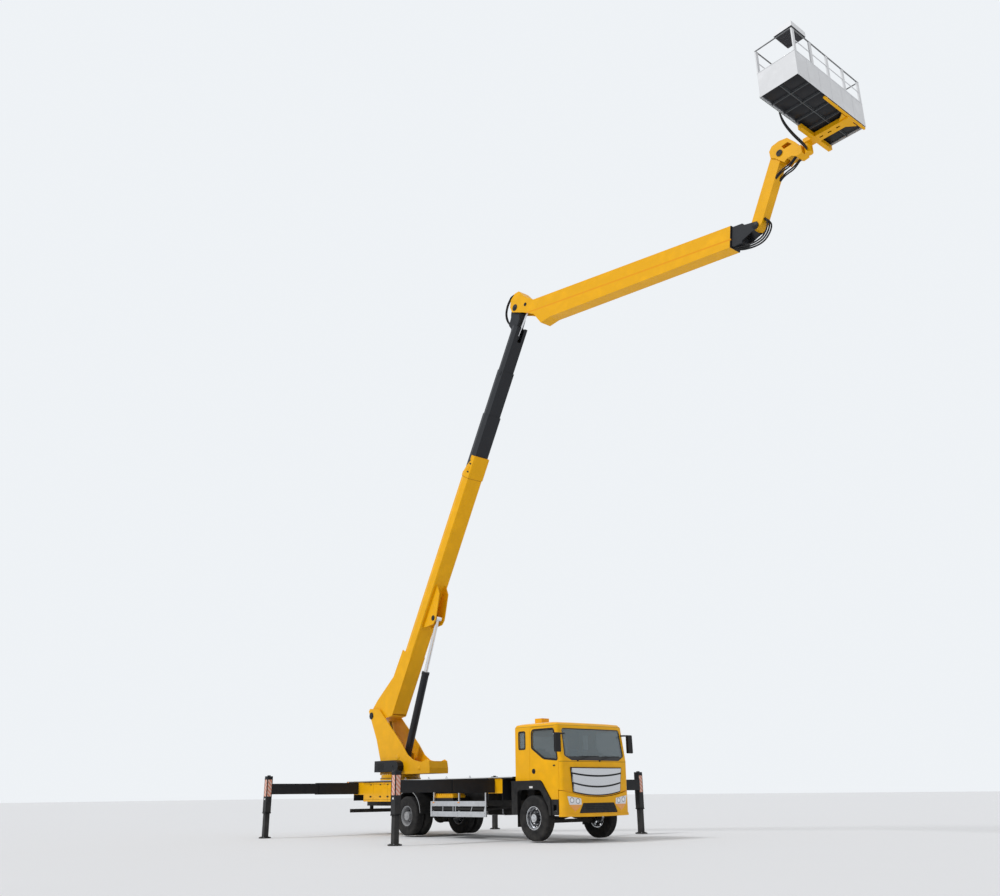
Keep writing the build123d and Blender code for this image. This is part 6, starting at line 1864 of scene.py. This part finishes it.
@dataclass
class Platform:
    """Levelling arm, frame, basket and console."""

    x: float = 14.450
    y: float = -0.720
    console_height: float = 0.149
    low: float = 15.150
    length: float = 0.940
    width: float = 2.680
    panel: float = 0.630
    height: float = 1.250

    def build(self) -> None:
        """Build and dress the platform."""
        dress("yellow_plain", "platform_bracket", "platform_frame")
        dress("white_basket", "basket")
        dress("console_white", "control_box")
        self._bracket_detail()
        self._panel_trim()
        self._floor_panels()
        self._back_beam()
        self._console()
        self._platform_hoses()

    def _bracket_detail(self) -> None:
        """Dark ring pins on the levelling arm."""
        for side in Side:
            middle = truck(13.160, side.value * 0.1665, 15.100)
            shape = Shape().lathe([(0.040, 0.0), (0.040, 0.012), (0.078, 0.012), (0.082, 0.006),
                                   (0.082, 0.0)], middle, side.out, 32)
            shape.lathe([(0.0, 0.006), (0.034, 0.006), (0.036, 0.0), (0.0, 0.0)], middle, side.out, 24)
            shape.piece(f"level_pin_ring_{side.word}", "black_seal", "platform_bracket_body", Slot.CHARCOAL)

    def _panel_trim(self) -> None:
        """Folded lip on the lower sheets, and seams between them."""
        x0, x1 = self.x - self.length / 2, self.x + self.length / 2
        y0, y1 = self.y - self.width / 2, self.y + self.width / 2
        top = self.low + self.panel
        shape = Shape()
        for x in (x0, x1):
            shape.box(truck(x - 0.006, y0 - 0.004, top - 0.012), truck(x + 0.006, y1 + 0.004, top + 0.004),
                      0.003)
        for y in (y0, y1):
            shape.box(truck(x0 - 0.004, y - 0.006, top - 0.012), truck(x1 + 0.004, y + 0.006, top + 0.004),
                      0.003)
        for step in range(1, 6):
            y = y0 + step * self.width / 6
            for x in (x0, x1):
                low = truck(x - 0.0035, y - 0.012, self.low + 0.02)
                shape.box(low, truck(x + 0.0035, y + 0.012, top - 0.01), 0.001, segments=1)
        shape.piece("panel_lips", "white_basket", "platform_body", Slot.WHITE)

    def _floor_panels(self) -> None:
        """Shallow pressed panels under the floor, two columns of six."""
        shape = Shape()
        x0 = self.x - self.length / 2
        y0 = self.y - self.width / 2
        cell_x, cell_y = self.length / 2, self.width / 6
        for column in range(2):
            for row in range(6):
                left = x0 + column * cell_x + 0.035
                near = y0 + row * cell_y + 0.035
                high = truck(left + cell_x - 0.07, near + cell_y - 0.07, self.low + 0.0575)
                shape.box(truck(left, near, self.low + 0.044), high, 0.006)
        shape.piece("floor_panels", "charcoal_plain", "platform_body", Slot.CHARCOAL)

    def _back_beam(self) -> None:
        """Grey-green edge beam along the platform's rear lower edge."""
        x0 = self.x - self.length / 2
        y0, y1 = self.y - self.width / 2, self.y + self.width / 2
        shape = Shape().box(truck(x0 - 0.022, y0 + 0.02, self.low + 0.002),
                            truck(x0 + 0.002, y1 - 0.02, self.low + 0.058), 0.005)
        shape.piece("back_edge_beam", "grey_green", "platform_body", Slot.WHITE)

    def _console(self) -> None:
        """Joysticks, buttons, stop knob and cover of the console."""
        x = self.x + self.length / 2
        y = self.y - self.width / 2
        top = self.low + self.height + 0.0003
        sticks = Shape()
        for dy in (0.09, 0.40):
            foot = truck(x - 0.12, y + dy, top + self.console_height)
            sticks.lathe([(0.0, 0.016), (0.020, 0.014), (0.034, 0.003), (0.036, 0.0), (0.0, 0.0)], foot, UP,
                         20)
            sticks.rod(foot, foot + Vector((-0.010, 0, 0.060)), 0.008, 10, 0.006)
            sticks.rod(foot + Vector((-0.010, 0, 0.052)), foot + Vector((-0.012, 0, 0.080)), 0.016, 14,
                       0.014, 0.004)
        sticks.piece("joysticks", "black_seal", "platform_body", Slot.PLASTIC)
        knob = Shape().lathe([(0.0, 0.030), (0.016, 0.029), (0.020, 0.022), (0.010, 0.016), (0.010, 0.0),
                              (0.0, 0.0)],
                             truck(x - 0.06, y + 0.25, top + self.console_height), UP, 20)
        knob.piece("stop_knob", "signal_red", "platform_body", Slot.PLASTIC)
        buttons = Shape()
        for row in range(2):
            for column in range(4):
                foot = truck(x - 0.16 - row * 0.045, y + 0.175 + column * 0.050, top + self.console_height)
                buttons.rod(foot, foot + Vector((0, 0, 0.010)), 0.011, 14, rounded=0.002)
        buttons.piece("console_buttons", "signal_green", "platform_body", Slot.PLASTIC)

    def _platform_hoses(self) -> None:
        """Hose loop under the levelling arm, and the bundle up to the platform's rear edge."""
        for index, y in enumerate((-0.105, -0.065, 0.065, 0.105)):
            drop = 0.025 * (index % 2)
            route = [truck(12.935, y, 14.55), truck(13.02, y, 14.62), truck(13.16, y, 14.68 - drop),
                     truck(13.32, y, 14.70 - drop), truck(13.44, y, 14.76), truck(13.50, y, 14.81),
                     truck(13.56, y, 14.82)]
            hose(f"level_hose_{index + 1}", route, 0.018,
                 (truck(13.05, 0, 14.64), truck(13.42, 0, 14.76)))
        for index in range(3):
            step = index * 0.034
            route = [truck(13.955, -1.30, 15.172), truck(13.925, -1.22, 15.12 - step),
                     truck(13.885, -0.98, 15.03 - step),
                     truck(13.865, -0.66, 14.96 - step), truck(13.855, -0.36, 14.93 - step),
                     truck(13.835, -0.18, 14.92 - step), truck(13.815, -0.088, 14.92 - step)]
            hose(f"basket_hose_{index + 1}", route, 0.019,
                 (truck(13.88, -0.98, 15.0), truck(13.82, -0.16, 14.92)))


@dataclass
class Studio:
    """Pale floor, soft light and the camera of the photograph."""

    floor_tone: Colour = (0.74, 0.75, 0.77)
    backdrop: Colour = (0.86, 0.89, 0.92)
    floor_half: float = 260.0
    camera_at: tuple[float, float, float] = (17.282, -17.245, 1.108)
    yaw: float = 49.635
    pitch: float = 19.908
    roll: float = -0.659
    lens: float = 34.26
    sensor: float = 36.0
    far: float = 2000.0
    sun_strength: float = 1.5
    sun_degrees: float = 12.0
    sun_way: Vector = field(default_factory=lambda: Vector((0.25, 0.70, -0.85)))

    def build(self) -> None:
        """Build the floor, the lights and the camera."""
        self._floor()
        self._world()
        self._lamps()
        self._camera()

    def _floor(self) -> None:
        """Large pale floor with a faint mottling."""
        bm = bmesh.new()
        bmesh.ops.create_grid(bm, x_segments=1, y_segments=1, size=self.floor_half)
        mesh = bpy.data.meshes.new("studio_floor")
        bm.to_mesh(mesh)
        bm.free()
        g = Graph("floor_matt")
        tone = g.mix(g.noise(0.4, 3.0) * 0.3, self.floor_tone, tuple(c * 0.96 for c in self.floor_tone))
        mesh.materials.append(g.done(g.shader({"Base Color": tone, "Roughness": 0.85})))
        linked("studio_floor", mesh)

    def _world(self) -> None:
        """Plain light from all round, and a pale backdrop for the camera, gloss and glass."""
        world = bpy.data.worlds.new("studio_world")
        bpy.context.scene.world = world
        world.use_nodes = True
        tree = world.node_tree
        tree.nodes.clear()
        output, light, seen, path, either, both, mixed = (tree.nodes.new("ShaderNode" + kind) for kind in (
            "OutputWorld", "Background", "Background", "LightPath", "Math", "Math", "MixShader"))
        for background, colour, strength in ((seen, self.backdrop, 1.0), (light, (1.0, 1.0, 1.0), 0.62)):
            background.inputs["Color"].default_value = (*colour, 1.0)
            background.inputs["Strength"].default_value = strength
        either.operation = both.operation = "ADD"
        both.use_clamp = True
        for start, end in (
                (path.outputs["Is Camera Ray"], either.inputs[0]),
                (path.outputs["Is Glossy Ray"], either.inputs[1]),
                (either.outputs[0], both.inputs[0]),
                (path.outputs["Is Transmission Ray"], both.inputs[1]),
                (both.outputs[0], mixed.inputs[0]),
                (light.outputs[0], mixed.inputs[1]),
                (seen.outputs[0], mixed.inputs[2]),
                (mixed.outputs[0], output.inputs["Surface"])):
            tree.links.new(start, end)

    def _lamps(self) -> None:
        """One broad sun from the camera's left and above."""
        sun = bpy.data.lights.new("studio_sun", "SUN")
        sun.energy = self.sun_strength
        sun.angle = math.radians(self.sun_degrees)
        lamp = linked("studio_sun", sun)
        lamp.rotation_euler = self.sun_way.to_track_quat("-Z", "Y").to_euler()

    def _camera(self) -> None:
        """Camera fitted to the photograph."""
        yaw, pitch, roll = (math.radians(v) for v in (self.yaw, self.pitch, self.roll))
        forward = Vector((-math.sin(yaw) * math.cos(pitch), math.cos(yaw) * math.cos(pitch),
                          math.sin(pitch)))
        right = Vector((math.cos(yaw), math.sin(yaw), 0.0))
        up = right.cross(forward)
        right_turned = right * math.cos(roll) + up * math.sin(roll)
        up_turned = up * math.cos(roll) - right * math.sin(roll)
        data = bpy.data.cameras.new("photo_camera")
        data.sensor_width = self.sensor
        data.lens = self.lens
        data.clip_end = self.far
        camera = linked("photo_camera", data)
        turn = Matrix((right_turned, up_turned, -forward)).transposed().to_4x4()
        camera.matrix_world = Matrix.Translation(self.camera_at) @ turn
        bpy.context.scene.camera = camera


def main() -> None:
    """Build the sub-assemblies in order."""
    logging.basicConfig(level=logging.INFO, format="%(name)s: %(message)s")
    bpy.context.scene.view_settings.view_transform = "Standard"
    for part in (Studio(), RunningGear(), Cab(), DeckGear(), Outriggers(), Turret(), MainBoom(), UpperArm(),
                 Platform()):
        part.build()
        LOG.info("%s done", type(part).__name__)


if __name__ == "__main__":
    main()
